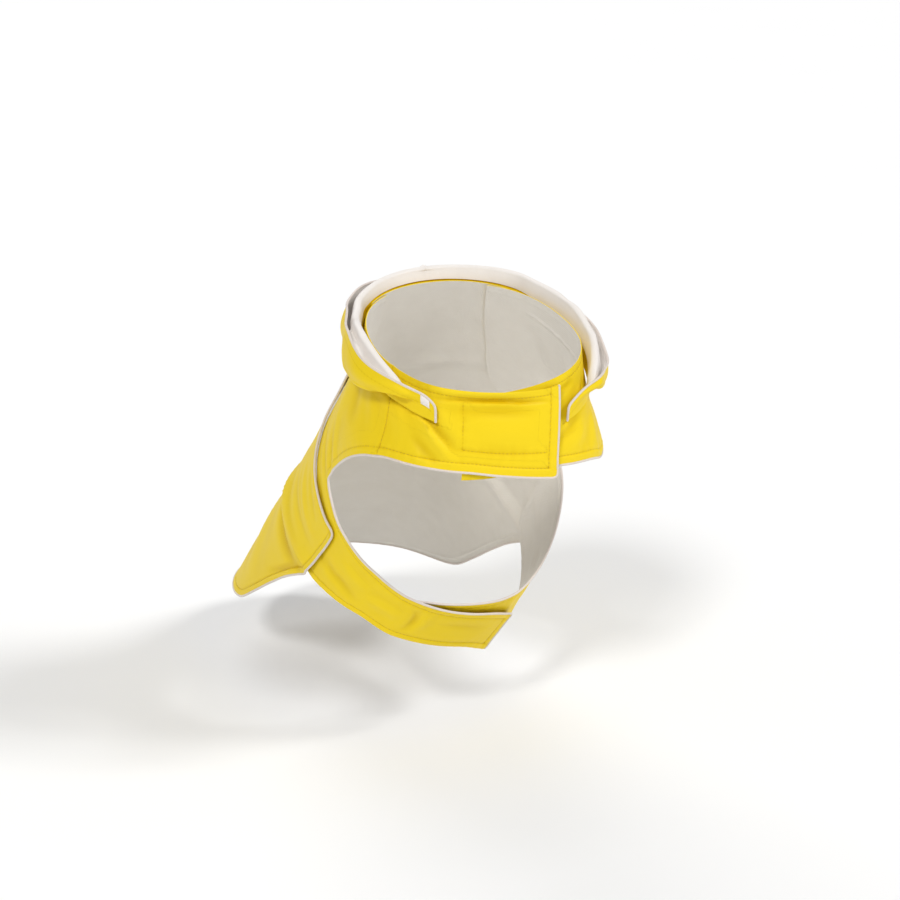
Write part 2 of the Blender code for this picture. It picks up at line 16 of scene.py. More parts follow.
import bpy
import numpy as np
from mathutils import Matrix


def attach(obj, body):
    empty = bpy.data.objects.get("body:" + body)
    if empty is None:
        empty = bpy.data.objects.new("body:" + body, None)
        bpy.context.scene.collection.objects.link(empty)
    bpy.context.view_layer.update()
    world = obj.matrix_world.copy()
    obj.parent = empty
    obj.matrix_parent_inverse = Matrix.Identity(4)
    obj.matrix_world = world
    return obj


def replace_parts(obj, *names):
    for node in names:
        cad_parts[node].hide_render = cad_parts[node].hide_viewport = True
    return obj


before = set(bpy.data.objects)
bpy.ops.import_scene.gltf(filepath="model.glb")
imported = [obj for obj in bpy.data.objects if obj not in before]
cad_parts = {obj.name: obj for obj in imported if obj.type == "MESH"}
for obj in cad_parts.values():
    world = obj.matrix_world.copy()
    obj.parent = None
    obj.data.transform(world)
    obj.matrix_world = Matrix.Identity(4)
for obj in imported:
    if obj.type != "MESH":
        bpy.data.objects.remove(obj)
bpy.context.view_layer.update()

LOG = logging.getLogger("dog_raincoat")
Array = np.ndarray
Colour = tuple[float, float, float]
Place = tuple[float, float]

# ---- sizes, mm ------------------------------------------------------------------------
MM = 0.001
BODY = "root"
ARC = 1.42               # along the form's surface, one degree
CLOTH = 1.2              # room that the coated cloth has in the model
CLOTH_THIN = 0.55        # the cloth itself
LINING_THIN = 0.4
PAD = 0.8                # closure tape
PAD_EDGE = 0.12          # taken off each face at its rim
GAP = 0.3
LINING_GAP = 0.4
LINING = 0.8
CORD = 0.85              # radius of the piping
CORD_ROOM = 1.1          # radius of the room that the model keeps for it
CORD_OFFSET = 0.7        # from a cloth edge to the middle of its cord
OVERLAP_LIFT = CLOTH + 2 * PAD + 3 * GAP
SADDLE_LIFT = CLOTH / 2 + CORD_ROOM + GAP
HOOD_SEAM_LIFT = 2 * GAP + LINING_GAP + LINING
STITCH_PITCH = 2.7
STITCH_LENGTH = 2.1
STITCH_RADIUS = 0.2
STITCH_SIDES = 6
# A stitch: share of its length from the middle, swell and height in shares of its radius.
STITCH_PROFILE = ((-0.5, 0.25, -1.1), (-0.36, 0.9, -0.1), (0.0, 1.0, 0.35),
                  (0.36, 0.9, -0.1), (0.5, 0.25, -1.1))
LEAST_STEP = 0.1         # a shorter step along a sewn line gives no direction
FAR = 9.0                # from here on, the distance to the sewing is all the same
# Depth of the relief kept on the points, clipped, for painted shade in hollows and a painted highlight on
# ridges.
HOLLOW_RANGE = (-1.5, 2.0)
HOOD_HOLLOW_RANGE = (-1.5, 1.5)
SEWN_WIDTH = 0.45        # the mark that a thread presses into the cloth, and the width of the painted shade along it
HEM_FADE = (7.0, 9.0)    # a hem's doubled cloth ends this far from the thread
PUCKER_REACH = 4.5
# A cord's end: reach and radius, in shares of the cord's radius.
CORD_END = ((0.0, 1.0), (0.35, 0.95), (0.7, 0.72), (0.92, 0.35))
CORD_STEP = 1.3
CORD_SIDES = 12
SHARP_ANGLE = 50.0

# ---- the wearer's form: station, spine y z, breast y z, half width, taper ----------------
RINGS = (
    (-40, -18, 40, -122, -10, 69, 0.08), (0, 0, 0, -128, -46, 71, 0.10),
    (25, 11, -22, -133, -70, 75, 0.13), (50, 25, -43, -135, -96, 83, 0.16),
    (90, 52, -73, -114, -140, 85, 0.10), (130, 82, -104, -80, -182, 84, 0.04),
    (170, 115, -136, -48, -220, 84, 0.00), (210, 150, -169, -18, -256, 84, -0.04),
    (250, 187, -203, 12, -290, 86, -0.05), (300, 231, -245, 48, -330, 88, -0.06),
)
SQUARENESS = 0.05

# ---- outlines: (station, angle) ----------------------------------------------------------
SADDLE_EDGE = (
    (-9, 44.5), (20, 46), (60, 49), (86, 54), (97, 62), (106, 70), (112, 78), (117, 88),
    (122, 99), (126, 108), (140, 107), (156, 105), (170, 103.5), (181, 102),
)
SADDLE_SPINE = (-9, 322)
HEM_SHAPE = ((0, 0), (0.25, 0.03), (0.45, 0.10), (0.58, 0.17), (0.69, 0.28), (0.76, 0.46), (0.83, 0.66),
             (0.91, 0.85), (1, 1))
HEM_BLEND = (0.45, 1.0)
# A flank's folds: station at FLANK_ANGLE, growth by degree, height, width ahead and behind.
FLANK_FOLDS = ((171, 0.10, 3.2, 11.0, 5.0), (143, 0.12, 1.0, 11.0, 11.0))
FLANK_ANGLE = 70
FOLD_START, FOLD_END, FOLD_LOSS = (34, 62), (92, 106), 0.45
# A side panel row by row: station and angle of its rear edge, then of its front edge.
SIDE_RIGHT = (
    (-9, 33, -16, 118), (10, 34, 12, 118), (40, 37, 44, 119.5),
    (60, 39, 49, 112), (74, 42, 57.5, 104), (84, 46, 71, 96), (92, 52, 85, 91),
    (98, 60, 97, 89), (106, 68, 102, 92), (114, 78, 107, 98), (128, 90, 115, 107),
    (150, 91, 121, 117), (166, 91, 128, 128), (177, 94, 134, 139), (180, 105, 137, 145),
    (178, 118, 141, 152), (177, 134, 146, 160), (182.5, 153, 152, 170), (190, 171, 158, 182),
    (198, 188, 165, 195.5), (212, 203, 178.5, 210),
)
SIDE_LEFT = (
    (-9, 33, -16, 118), (10, 34, 12, 118), (40, 37, 57, 119.5),
    (60, 39, 62, 111), (74, 42, 68, 103), (84, 46, 77, 96), (92, 52, 87, 91),
    (98, 60, 97, 89), (106, 68, 102, 92), (114, 78, 107, 98), (128, 90, 117, 108),
    (150, 91, 130, 119), (166, 91, 142, 129), (180, 95, 152, 139), (188, 106, 156, 145),
    (196, 120, 158, 152), (201, 135, 157, 160), (200, 152, 154, 171), (193, 169, 151, 183),
    (183, 187, 148, 196), (174, 205, 146, 206),
)
SIDE_CORNER_ROW = 2
NECK_EDGE = ((118, -16), (150, -14), (180, -11), (210, -8))
HEM_RIGHT = ((118, 44.8), (121, 43), (126, 41.2), (134, 39.8), (146, 38.8), (158, 39), (173, 41.8),
             (198, 48.3), (215, 52.5))
HEM_LEFT = ((118, 57.5), (128, 56), (140, 49), (151, 45), (162, 42.5), (180, 42), (190, 44), (215, 45.5))
FRONT_EDGE_RIGHT = ((-20, 206), (0, 204.5), (24, 200.5), (44, 197), (60, 196))
FRONT_EDGE_LEFT = ((-20, 204), (60, 202))
CHEST_RAMP = (124, 150)
BELLY_RAMP = (132, 151)
CHEST_PAD = ((158, 193), (2, 29), 0.0)
BELLY_PAD = ((168, 197), (163, 178), 0.42)

# ---- the hood, section by section ----------------------------------------------------------
HOOD_COLUMNS = ("angle", "seam", "crest_out", "crest_up", "roll_out", "roll_up",
                "bulge_out", "bulge_up", "edge_out", "edge_up")
HOOD_ROWS = (
    (143.5, 10, 0.4, 4, 0.6, 6.2, 0.8, 8.4, 0.8, 10.5),
    (140, 9, 0.6, 6, 1.2, 8.5, 2.0, 11, 1.8, 14),
    (134, 7.5, 1.0, 8.0, 2.8, 9.5, 4.6, 12, 4.6, 16),
    (130, 6.7, 1.2, 12, 5.8, 8.5, 8.4, 12.5, 7.4, 17),
    (126, 6, 1.5, 15, 7.4, 8.5, 10.4, 13, 9.4, 18),
    (112, 5, 2.5, 22, 9.5, 2, 14.5, 9, 12.5, 20),
    (90, 3, 3.0, 24, 9.8, -6, 13.2, 3, 11, 23),
    (65, 1, 2.0, 14, 6.8, -11, 10.6, -2, 8.0, 13),
    (45, 0, 3.0, 12, 11, -22, 17, -10, 12, 8),
    (25, 0, 5.0, 13, 24, -42, 33, -24, 22, 6),
    (0, 0, 7.0, 14, 42, -60, 55, -38, 32, 2),
    (-25, 0, 6.0, 15, 28, -44, 38, -26, 26, 6),
    (-45, 0, 5.0, 17, 17, -28, 25, -14, 20, 8),
    (-65, 1, 5.0, 19, 14, -17, 21, -6, 18, 9),
    (-90, 4, 6.0, 21, 15, -11, 22, -3, 21, 5),
    (-100, 6, 5.5, 20, 13, -11, 18.5, -5, 18.5, 2),
    (-112, 8, 4.5, 18, 9.5, -9, 13.5, -4, 14, 4),
    (-120, 10, 3.0, 15, 7.2, -4, 10, 0, 10, 8),
    (-128, 12, 1.8, 12, 6.2, 3, 9.0, 7, 8.4, 12),
    (-131, 12.8, 1.3, 9, 5.2, 5.5, 8.4, 9, 7.6, 13),
    (-134, 13.5, 1.0, 7, 3.4, 6.8, 5.8, 9, 5.8, 13.5),
    (-139, 14.5, 0.9, 6.5, 2.2, 8, 3.6, 10.5, 3.4, 14),
    (-146, 16, 0.6, 5, 1.0, 7.5, 1.6, 10, 1.4, 12.5),
    (-151.5, 17, 0.4, 3.6, 0.6, 5.4, 0.8, 7.6, 0.8, 9.5),
)
SADDLE_RAMP = (48, 60)   # angles where the saddle's edge passes under the hood
CREST_RADIUS = 1.5
ROLL_RADIUS = 2.4
FOLD_RAMP = (0, 9)
OPEN_CREST, OPEN_ROLL = 0.30, 0.50
HOOD_PLACES = 12
HOOD_CROWDING = 1.35
EDGE_OFFSET = 0.25       # the hood's cord lies this far outside the middle of its cloth
TAB = ((137.6, 141.4), (8.6, 12.2))
TAB_THIN, TAB_CROWN = 0.35, 0.45


# ---- curves --------------------------------------------------------------------------------
def hermite(x: Array, knots: Array, values: Array, slope: Array) -> Array:
    """Cubic Hermite curve through the values with the given slopes, one cubic an interval."""
    x = np.asarray(x, float)
    i = np.clip(np.searchsorted(knots, x) - 1, 0, len(knots) - 2)
    width = knots[i + 1] - knots[i]
    t = np.clip((x - knots[i]) / width, -0.5, 1.5)
    return ((2 * t**3 - 3 * t**2 + 1) * values[i] + (t**3 - 2 * t**2 + t) * width * slope[i]
            + (3 * t**2 - 2 * t**3) * values[i + 1] + (t**3 - t**2) * width * slope[i + 1])


def smooth(x: Array, knots: Array, values: Array) -> Array:
    """Smooth curve through the values, with slopes by difference."""
    knots, values = np.asarray(knots, float), np.asarray(values, float)
    return hermite(x, knots, values, np.gradient(values, knots))


def monotone(x: Array, knots: Array, values: Array) -> Array:
    """Smooth curve through the values that never overshoots them: harmonic-mean slopes."""
    knots, values = np.asarray(knots, float), np.asarray(values, float)
    step = np.diff(values) / np.diff(knots)
    slope = np.zeros_like(values)
    same = step[1:] * step[:-1] > 0
    total = np.where(same, step[1:] + step[:-1], 1.0)
    slope[1:-1] = np.where(same, 2 * step[1:] * step[:-1] / total, 0.0)
    slope[0], slope[-1] = step[0], step[-1]
    return hermite(x, knots, values, slope)


def cornered(x: Array, knots: Array, values: Array, corner: int) -> Array:
    """Monotone curve in two parts, with a corner at one knot."""
    before = monotone(x, knots[:corner + 1], values[:corner + 1])
    after = monotone(x, knots[corner:], values[corner:])
    return np.where(x < knots[corner], before, after)


def ramp(x: Array, low: float, high: float) -> Array:
    """Smooth step from 0 at low to 1 at high: 3t^2 - 2t^3."""
    t = np.clip((np.asarray(x, float) - low) / (high - low), 0, 1)
    return t * t * (3 - 2 * t)


def bump(x: Array, centre: Any, width: Any) -> Array:
    """Bell curve of height 1: e to the minus square of the distance in widths."""
    return np.exp(-((np.asarray(x, float) - centre) / width) ** 2)


def crowded(count: int, crowd: float = 0.6) -> Array:
    """Numbers from 0 to 1 that lie closer together at both ends: t - crowd sin(2 pi t) / 2 pi."""
    t = np.linspace(0, 1, count)
    return t - crowd * np.sin(2 * np.pi * t) / (2 * np.pi)


def unit(vectors: Array) -> Array:
    """Vectors at length 1."""
    return vectors / np.linalg.norm(vectors, axis=-1, keepdims=True)


# ---- the form ------------------------------------------------------------------------------
@dataclass(frozen=True)
class Form:
    """The general four-legged torso that the coat is worn on."""

    rings: tuple[tuple[float, ...], ...] = RINGS
    squareness: float = SQUARENESS

    def base(self, station: Array, angle: Array) -> Array:
        """Point on the form: x = -w sin a g (1 - taper cos a), and breast to spine as g cos a.

        The corner term is g = 1 + squareness sin(2a)^2.
        """
        table = np.array(self.rings, float)
        spine_y, spine_z, breast_y, breast_z, width, taper = (
            smooth(station, table[:, 0], table[:, column]) for column in range(1, 7))
        turn = np.radians(angle)
        c, s = np.cos(turn), np.sin(turn)
        g = 1 + self.squareness * np.sin(2 * turn) ** 2
        return np.stack([-width * s * g * (1 - taper * c),
                         (spine_y + breast_y) / 2 + (spine_y - breast_y) / 2 * c * g,
                         (spine_z + breast_z) / 2 + (spine_z - breast_z) / 2 * c * g], -1)

    def slopes(self, station: Array, angle: Array) -> tuple[Array, Array]:
        """Change of the point by station and by degree, from central differences."""
        along = self.base(station + 0.5, angle) - self.base(station - 0.5, angle)
        around = (self.base(station, angle + 0.3) - self.base(station, angle - 0.3)) / 0.6
        return along, around

    def normal(self, station: Array, angle: Array) -> Array:
        """Outward unit normal: the cross product of the two slopes."""
        return unit(np.cross(*self.slopes(station, angle)))

    def point(self, station: Array, angle: Array, lift: Any = 0.0) -> Array:
        """Point on the form moved outward by the lift."""
        station, angle, lift = np.broadcast_arrays(
            np.asarray(station, float), np.asarray(angle, float), np.asarray(lift, float))
        return self.base(station, angle) + self.normal(station, angle) * lift[..., None]

    def step(self, station: Array, angle: Array, move: Array) -> tuple[Array, Array]:
        """Place reached by a small move in space: least squares on the two slopes."""
        along, around = self.slopes(station, angle)
        aa, ab, bb = (np.sum(p * q, -1) for p, q in ((along, along), (along, around), (around, around)))
        am, bm = np.sum(along * move, -1), np.sum(around * move, -1)
        det = aa * bb - ab * ab
        return station + (bb * am - ab * bm) / det, angle + (aa * bm - ab * am) / det


FORM = Form()


def flat_distance(station: Array, angle: Array, line: Array) -> tuple[Array, Array, Array]:
    """Signed distance, run and total run of a bent line, for places laid flat in mm.

    Args:
        station: Stations of the places.
        angle: Angles of the places, laid flat at ARC mm a degree.
        line: The line's own places, one row each.

    Returns:
        The distance to the nearest segment (above 0 on its left), the run along the line
        to the nearest point, and the line's whole run.
    """
    knots = np.asarray(line, float) * np.array([1.0, ARC])
    start, span = knots[:-1], np.diff(knots, axis=0)
    length = np.linalg.norm(span, axis=1)
    places = np.stack([np.ravel(station), np.ravel(angle) * ARC], 1)
    away = places[:, None, :] - start[None]
    t = np.clip(np.sum(away * span, -1) / length**2, 0, 1)
    rest = away - t[..., None] * span
    distance = np.linalg.norm(rest, axis=-1)
    nearest = np.argmin(distance, 1)
    row = np.arange(len(places))
    side = np.sign(span[nearest, 0] * away[row, nearest, 1] - span[nearest, 1] * away[row, nearest, 0])
    run = np.concatenate([[0], np.cumsum(length)])[nearest] + t[row, nearest] * length[nearest]
    shape = np.shape(station)
    return (distance[row, nearest] * side).reshape(shape), run.reshape(shape), length.sum()


@dataclass(frozen=True)
class Crease:
    """A soft trough or ridge in the cloth along a bent line."""

    line: tuple[Place, ...]
    height: float
    width: float
    lean: float = 0.0
    shoulder: float = 0.3

    def relief(self, station: Array, angle: Array) -> Array:
        """Lift: a bell across the line with two lower shoulders, fading to both ends.

        The lean makes the bell wider on the line's left and narrower on its right.
        """
        knots = np.array(self.line, float)
        t = np.linspace(0, len(knots) - 1, 6 * len(knots))
        line = np.stack([smooth(t, np.arange(len(knots)), knots[:, i]) for i in range(2)], 1)
        distance, run, total = flat_distance(station, angle, line)
        fade = np.sin(np.pi * np.clip(run / total, 0, 1)) ** 0.8
        width = self.width * (1 + self.lean * np.tanh(distance / self.width))
        bell = bump(distance, 0, width)
        shoulders = bump(np.abs(distance), 2.1 * width, 1.2 * width)
        return self.height * fade * (bell - self.shoulder * shoulders)


@dataclass(frozen=True)
class Sewing:
    """A sewn line on a panel: the thread, its furrow and the pucker beside it."""

    station: Array
    angle: Array
    furrow: float = 0.22
    pucker: float = 0.16
    wave: float = 7.0
    width: float = 0.9
    hem: float = 0.0
    hem_side: float = 1.0
    thread: bool = True

    @property
    def line(self) -> Array:
        """Places of the line, one row each."""
        return np.stack([self.station, self.angle], 1)

    def relief(self, distance: Array, run: Array) -> Array:
        """Lift: a furrow under the thread, uneven waves that die away, and a hem's doubled cloth."""
        swing = np.sin(2 * np.pi * run / self.wave + 1.3 * np.sin(run / 17)) * (0.6 + 0.4 * np.sin(run / 23))
        beyond = self.hem_side * distance
        doubled = self.hem * ramp(beyond, -0.2, 1.0) * (1 - ramp(beyond, *HEM_FADE))
        return (doubled - self.furrow * bump(distance, 0, self.width)
                + self.pucker * swing * bump(distance, 0, PUCKER_REACH))


def straight(*places: Place) -> tuple[Array, Array]:
    """Stations and angles along a line of straight stretches, about 1.5 mm apart."""
    knots = np.array(places, float)
    run = np.concatenate([[0], np.cumsum(np.linalg.norm(np.diff(knots, axis=0) * [1, ARC], axis=1))])
    at = np.linspace(0, run[-1], max(4, int(run[-1] / 1.5)))
    return np.interp(at, run, knots[:, 0]), np.interp(at, run, knots[:, 1])


# ---- shaders -------------------------------------------------------------------------------
class Signal:
    """A shader socket that takes part in expressions."""

    def __init__(self, shade: Shade, socket: bpy.types.NodeSocket) -> None:
        """Keep the socket and the material it belongs to."""
        self.shade, self.socket = shade, socket

    def math(self, operation: str, *others: Any, swap: bool = False) -> Signal:
        """Add a Math node.

        Args:
            operation: The Math node's operation.
            others: Further numbers or signals.
            swap: Whether this signal comes second.

        Returns:
            The node's result.
        """
        values = [self, *others]
        if swap:
            values.reverse()
        node = self.shade.node("ShaderNodeMath", {"operation": operation}, dict(enumerate(values)))
        return self.shade.signal(node)

    def __add__(self, other: Any) -> Signal:
        """Sum."""
        return self.math("ADD", other)

    def __sub__(self, other: Any) -> Signal:
        """Difference."""
        return self.math("SUBTRACT", other)

    def __rsub__(self, other: Any) -> Signal:
        """Difference, from a number."""
        return self.math("SUBTRACT", other, swap=True)

    def __mul__(self, other: Any) -> Signal:
        """Product."""
        return self.math("MULTIPLY", other)

    def __truediv__(self, other: Any) -> Signal:
        """Quotient."""
        return self.math("DIVIDE", other)

    def __pow__(self, other: Any) -> Signal:
        """Power."""
        return self.math("POWER", other)

    __radd__, __rmul__ = __add__, __mul__

    def sine(self) -> Signal:
        """Sine of the value in radians."""
        return self.math("SINE")

    def clamped(self) -> Signal:
        """The value kept between 0 and 1."""
        return self.math("MINIMUM", 1.0).math("MAXIMUM", 0.0)

    def bell(self, width: float) -> Signal:
        """Bell curve of height 1 about 0: e to the minus square of the value in widths."""
        scaled = self / width
        return (scaled * scaled * -1.0).math("EXPONENT")


class Shade:
    """One material's node tree, with a Principled BSDF."""

    def __init__(self, name: str) -> None:
        """Start the material."""
        self.material = bpy.data.materials.new(name)
        self.material.use_nodes = True
        self.tree = self.material.node_tree
        self.tree.nodes.clear()
        self.surface = self.node("ShaderNodeBsdfPrincipled")
        self.node("ShaderNodeOutputMaterial", inputs={"Surface": self.signal(self.surface, "BSDF")})

    def node(self, kind: str, settings: Mapping[str, Any] | None = None,
             inputs: Mapping[Any, Any] | None = None) -> bpy.types.Node:
        """Add a node.

        Args:
            kind: The node's type.
            settings: Attributes, set first.
            inputs: Values or signals by socket name or number.

        Returns:
            The node.
        """
        made = self.tree.nodes.new(kind)
        for name, value in (settings or {}).items():
            setattr(made, name, value)
        for key, value in (inputs or {}).items():
            if isinstance(value, Signal):
                self.tree.links.new(value.socket, made.inputs[key])
            else:
                made.inputs[key].default_value = value
        return made

    def signal(self, node: bpy.types.Node, output: Any = 0) -> Signal:
        """One output of a node."""
        return Signal(self, node.outputs[output])

    def attribute(self, name: str) -> Signal:
        """A number kept on the mesh's points."""
        return self.signal(self.node("ShaderNodeAttribute", {"attribute_name": name}), "Fac")

    def place(self) -> Signal:
        """The point in the piece's own space, in metres."""
        return self.signal(self.node("ShaderNodeTexCoord"), "Object")

    def cloth_axes(self) -> tuple[Signal, Signal]:
        """The piece's own flat coordinates, in mm along the cloth."""
        uv = self.signal(self.node("ShaderNodeTexCoord"), "UV")
        parts = self.node("ShaderNodeSeparateXYZ", inputs={0: uv})
        return self.signal(parts, 0) * 1000.0, self.signal(parts, 1) * 1000.0

    def noise(self, size: float, detail: float = 2.0, stretch: Sequence[float] = (1, 1, 1)) -> Signal:
        """Noise between about 0 and 1 with patches of the given size in mm."""
        moved = self.node("ShaderNodeMapping", inputs={"Vector": self.place(), "Scale": tuple(stretch)})
        made = self.node("ShaderNodeTexNoise", inputs={
            "Vector": self.signal(moved), "Scale": 1000.0 / size, "Detail": detail, "Roughness": 0.5})
        return self.signal(made)

    def mix(self, share: Any, first: Any, second: Any) -> Signal:
        """Blend of two colours."""
        inputs = {0: share}
        for number, colour in ((6, first), (7, second)):
            inputs[number] = colour if isinstance(colour, Signal) else (*colour, 1.0)
        return self.signal(self.node("ShaderNodeMix", {"data_type": "RGBA"}, inputs), 2)

    def dress(self, colour: Signal, roughness: Any, height: Signal, **fixed: float) -> bpy.types.Material:
        """Join the results to the surface.

        Args:
            colour: Base colour.
            roughness: Roughness, a signal or a number.
            height: Height of the fine relief, in mm.
            fixed: Numbers for other sockets, with _ for each space.

        Returns:
            The finished material.
        """
        relief = self.node("ShaderNodeBump", inputs={"Strength": 1.0, "Distance": MM, "Height": height})
        wanted = {"Base Color": colour, "Roughness": roughness, "Normal": self.signal(relief)}
        for name, value in wanted.items():
            if isinstance(value, Signal):
                self.tree.links.new(value.socket, self.surface.inputs[name])
            else:
                self.surface.inputs[name].default_value = value
        for name, value in fixed.items():
            self.surface.inputs[name.replace("_", " ")].default_value = value
        return self.material


def plain_weave(shade: Shade, pitch: float) -> Signal:
    """Height of a plain weave, -1 to 1: sin u sin v with u and v in threads of the given pitch."""
    u, v = shade.cloth_axes()
    turn = math.pi / pitch
    return (u * turn).sine() * (v * turn).sine()


@dataclass(frozen=True)
class CoatedCloth:
    """Satin polyurethane coating on a plain weave, with painted shade in its hollows and sewn furrows and a
    painted highlight on its ridges.
    """

    name: str = "satin_coating"
    colour: Colour = (0.862, 0.632, 0.014)
    # The next colour paints shade into hollows, sewn furrows and needle holes, and also gives deeper random
    # patches.
    deep_and_shade: Colour = (0.66, 0.43, 0.0)
    # The next colour is a painted highlight on ridges, and also gives paler random patches.
    pale: Colour = (0.90, 0.685, 0.03)
    roughness: float = 0.37
    specular: float = 0.10
    pitch: float = 0.5
    patch_size: float = 34.0
    drape_size: float = 9.0
    grain_size: float = 1.6

    def build(self) -> bpy.types.Material:
        """Nodes: patchy colour, painted shade in hollows and in the furrow and needle holes at the sewing,
        painted highlight on ridges, weave and grain.
        """
        shade = Shade(self.name)
        hollow, sew, run = (shade.attribute(name) for name in ("hollow", "sew", "run"))
        patch = shade.noise(self.patch_size, 3)
        fine = shade.noise(self.grain_size, 3)
        drape = shade.noise(self.drape_size, 2)
        furrow = sew.bell(SEWN_WIDTH)
        hole = furrow * ((run * (math.pi / STITCH_PITCH)).sine() ** 8.0)
        # Painted shade: darker in the crease hollows, along the sewn furrow and at its needle holes; the
        # patch noise adds random deeper tone.
        shade_and_mottle = (hollow * 0.42 + furrow * 0.20 + hole * 0.25 + (patch - 0.5) * 0.22).clamped()
        colour = shade.mix(shade_and_mottle, self.colour, self.deep_and_shade)
        # Painted highlight: ridges turn paler; the patch noise adds random paler tone.
        crown = ((hollow * -0.30) + (patch - 0.62) * 0.5).clamped()
        colour = shade.mix(crown * 0.7, colour, self.pale)
        weave = plain_weave(shade, self.pitch)
        height = weave * 0.010 + fine * 0.030 + drape * 0.10 + furrow * -0.07 + hole * -0.08
        roughness = fine * 0.10 + patch * 0.08 + self.roughness + furrow * 0.1
        return shade.dress(colour, roughness, height, Specular_IOR_Level=self.specular)


@dataclass(frozen=True)
class Backing:
    """The uncoated back of the cloth: off-white, with a visible weave."""

    name: str = "cloth_backing"
    colour: Colour = (0.78, 0.745, 0.68)
    shadow: Colour = (0.72, 0.68, 0.61)
    roughness: float = 0.82
    pitch: float = 0.8
    patch_size: float = 12.0
    grain_size: float = 0.8

    def build(self) -> bpy.types.Material:
        """Nodes: soft mottling and a visible weave."""
        shade = Shade(self.name)
        colour = shade.mix(shade.noise(self.patch_size, 3), self.colour, self.shadow)
        height = plain_weave(shade, self.pitch) * 0.05 + shade.noise(self.grain_size, 2) * 0.05
        return shade.dress(colour, self.roughness, height, Sheen_Weight=0.15)


@dataclass(frozen=True)
class Satin:
    """White satin with a fine twill, for the lining and the tab."""

    name: str = "satin_lining"
    colour: Colour = (0.82, 0.775, 0.73)
    shadow: Colour = (0.72, 0.66, 0.60)
    roughness: float = 0.40
    pitch: float = 0.45
    ripple_size: float = 14.0
    grain_size: float = 2.2

    def build(self) -> bpy.types.Material:
        """Nodes: twill lines along u + v, slack ripples and a furrow at the sewing, with painted shade in
        the hollows and in the furrow.
        """
        shade = Shade(self.name)
        u, v = shade.cloth_axes()
        twill = ((u + v) * (2 * math.pi / self.pitch)).sine()
        slack = shade.noise(self.ripple_size, 2, (1, 1, 0.5))
        furrow = shade.attribute("sew").bell(SEWN_WIDTH)
        # Painted shade in the lining's hollows and along the sewn furrow; it is also darker where the slack
        # ripples rise.
        shade_and_mottle = (shade.attribute("hollow") * 0.35 + (slack - 0.5) * 0.5 + furrow * 0.5).clamped()
        colour = shade.mix(shade_and_mottle, self.colour, self.shadow)
        height = twill * 0.010 + slack * 0.35 + furrow * -0.14 + shade.noise(self.grain_size, 2) * 0.04
        return shade.dress(colour, slack * 0.12 + self.roughness, height,
                           Sheen_Weight=0.12, Sheen_Roughness=0.35)


@dataclass(frozen=True)
class CordCover:
    """Bias-cut cover of the piping: diagonal threads round the cord."""

    name: str = "cord_cover"
    colour: Colour = (0.76, 0.68, 0.62)
    shadow: Colour = (0.64, 0.56, 0.50)
    roughness: float = 0.45
    threads: float = 14.0
    pitch: float = 0.9
    patch_size: float = 6.0

    def build(self) -> bpy.types.Material:
        """Nodes: ribs along diagonals of run and turn, and patches where the cloth is rubbed."""
        shade = Shade(self.name)
        uv = shade.signal(shade.node("ShaderNodeTexCoord"), "UV")
        parts = shade.node("ShaderNodeSeparateXYZ", inputs={0: uv})
        run, turn = shade.signal(parts, 0) * 1000.0, shade.signal(parts, 1)
        ribs = (run * (2 * math.pi / self.pitch) + turn * (2 * math.pi * self.threads)).sine()
        patch = shade.noise(self.patch_size, 3)
        colour = shade.mix((patch * 0.8 + ribs * 0.06 - 0.22).clamped(), self.colour, self.shadow)
        relief = ribs * 0.03 + patch * 0.08
        return shade.dress(colour, patch * 0.15 + self.roughness, relief, Sheen_Weight=0.2)


@dataclass(frozen=True)
class Thread:
    """Sewing thread."""

    name: str = "sewing_thread"
    colour: Colour = (0.70, 0.47, 0.0)
    darkest: float = 0.78

    def build(self) -> bpy.types.Material:
        """Nodes: a slight change from stitch to stitch."""
        shade = Shade(self.name)
        patch = shade.noise(3, 1)
        darker = tuple(self.darkest * value for value in self.colour)
        return shade.dress(shade.mix(patch, self.colour, darker), 0.5, shade.noise(0.4, 1) * 0.04)


@dataclass(frozen=True)
class ClosureTape:
    """Hook or loop tape: a dense field of small loops."""

    name: str = "tape_pile"
    colour: Colour = (0.78, 0.60, 0.08)
    shadow: Colour = (0.55, 0.40, 0.03)
    pile: float = 0.6

    def build(self) -> bpy.types.Material:
        """Nodes: cells of the pile's size for height and colour."""
        shade = Shade(self.name)
        cells = shade.node("ShaderNodeTexVoronoi", inputs={
            "Vector": shade.place(), "Scale": 1000.0 / self.pile})
        bead = shade.signal(cells, "Distance")
        colour = shade.mix(bead.clamped(), self.shadow, self.colour)
        return shade.dress(colour, 0.85, bead * 0.3)


@dataclass(frozen=True)
class PaleFloor:
    """Plain matt floor."""

    name: str = "pale_floor"
    colour: Colour = (0.93, 0.93, 0.93)

    def build(self) -> bpy.types.Material:
        """Nodes: almost even colour."""
        shade = Shade(self.name)
        tint = tuple(0.985 * value for value in self.colour)
        return shade.dress(shade.mix(shade.noise(180, 2), self.colour, tint), 0.9, shade.noise(5, 2) * 0.01)


class Finish(Enum):
    """The finishes of the coat's pieces."""

    COATED = CoatedCloth()
    BACKING = Backing()
    LINING = Satin()
    PIPING = CordCover()
    THREAD = Thread()
    TAPE = ClosureTape()
    FLOOR = PaleFloor()

    def material(self) -> bpy.types.Material:
        """The finish's material, made the first time it is asked for."""
        return bpy.data.materials.get(self.value.name) or self.value.build()


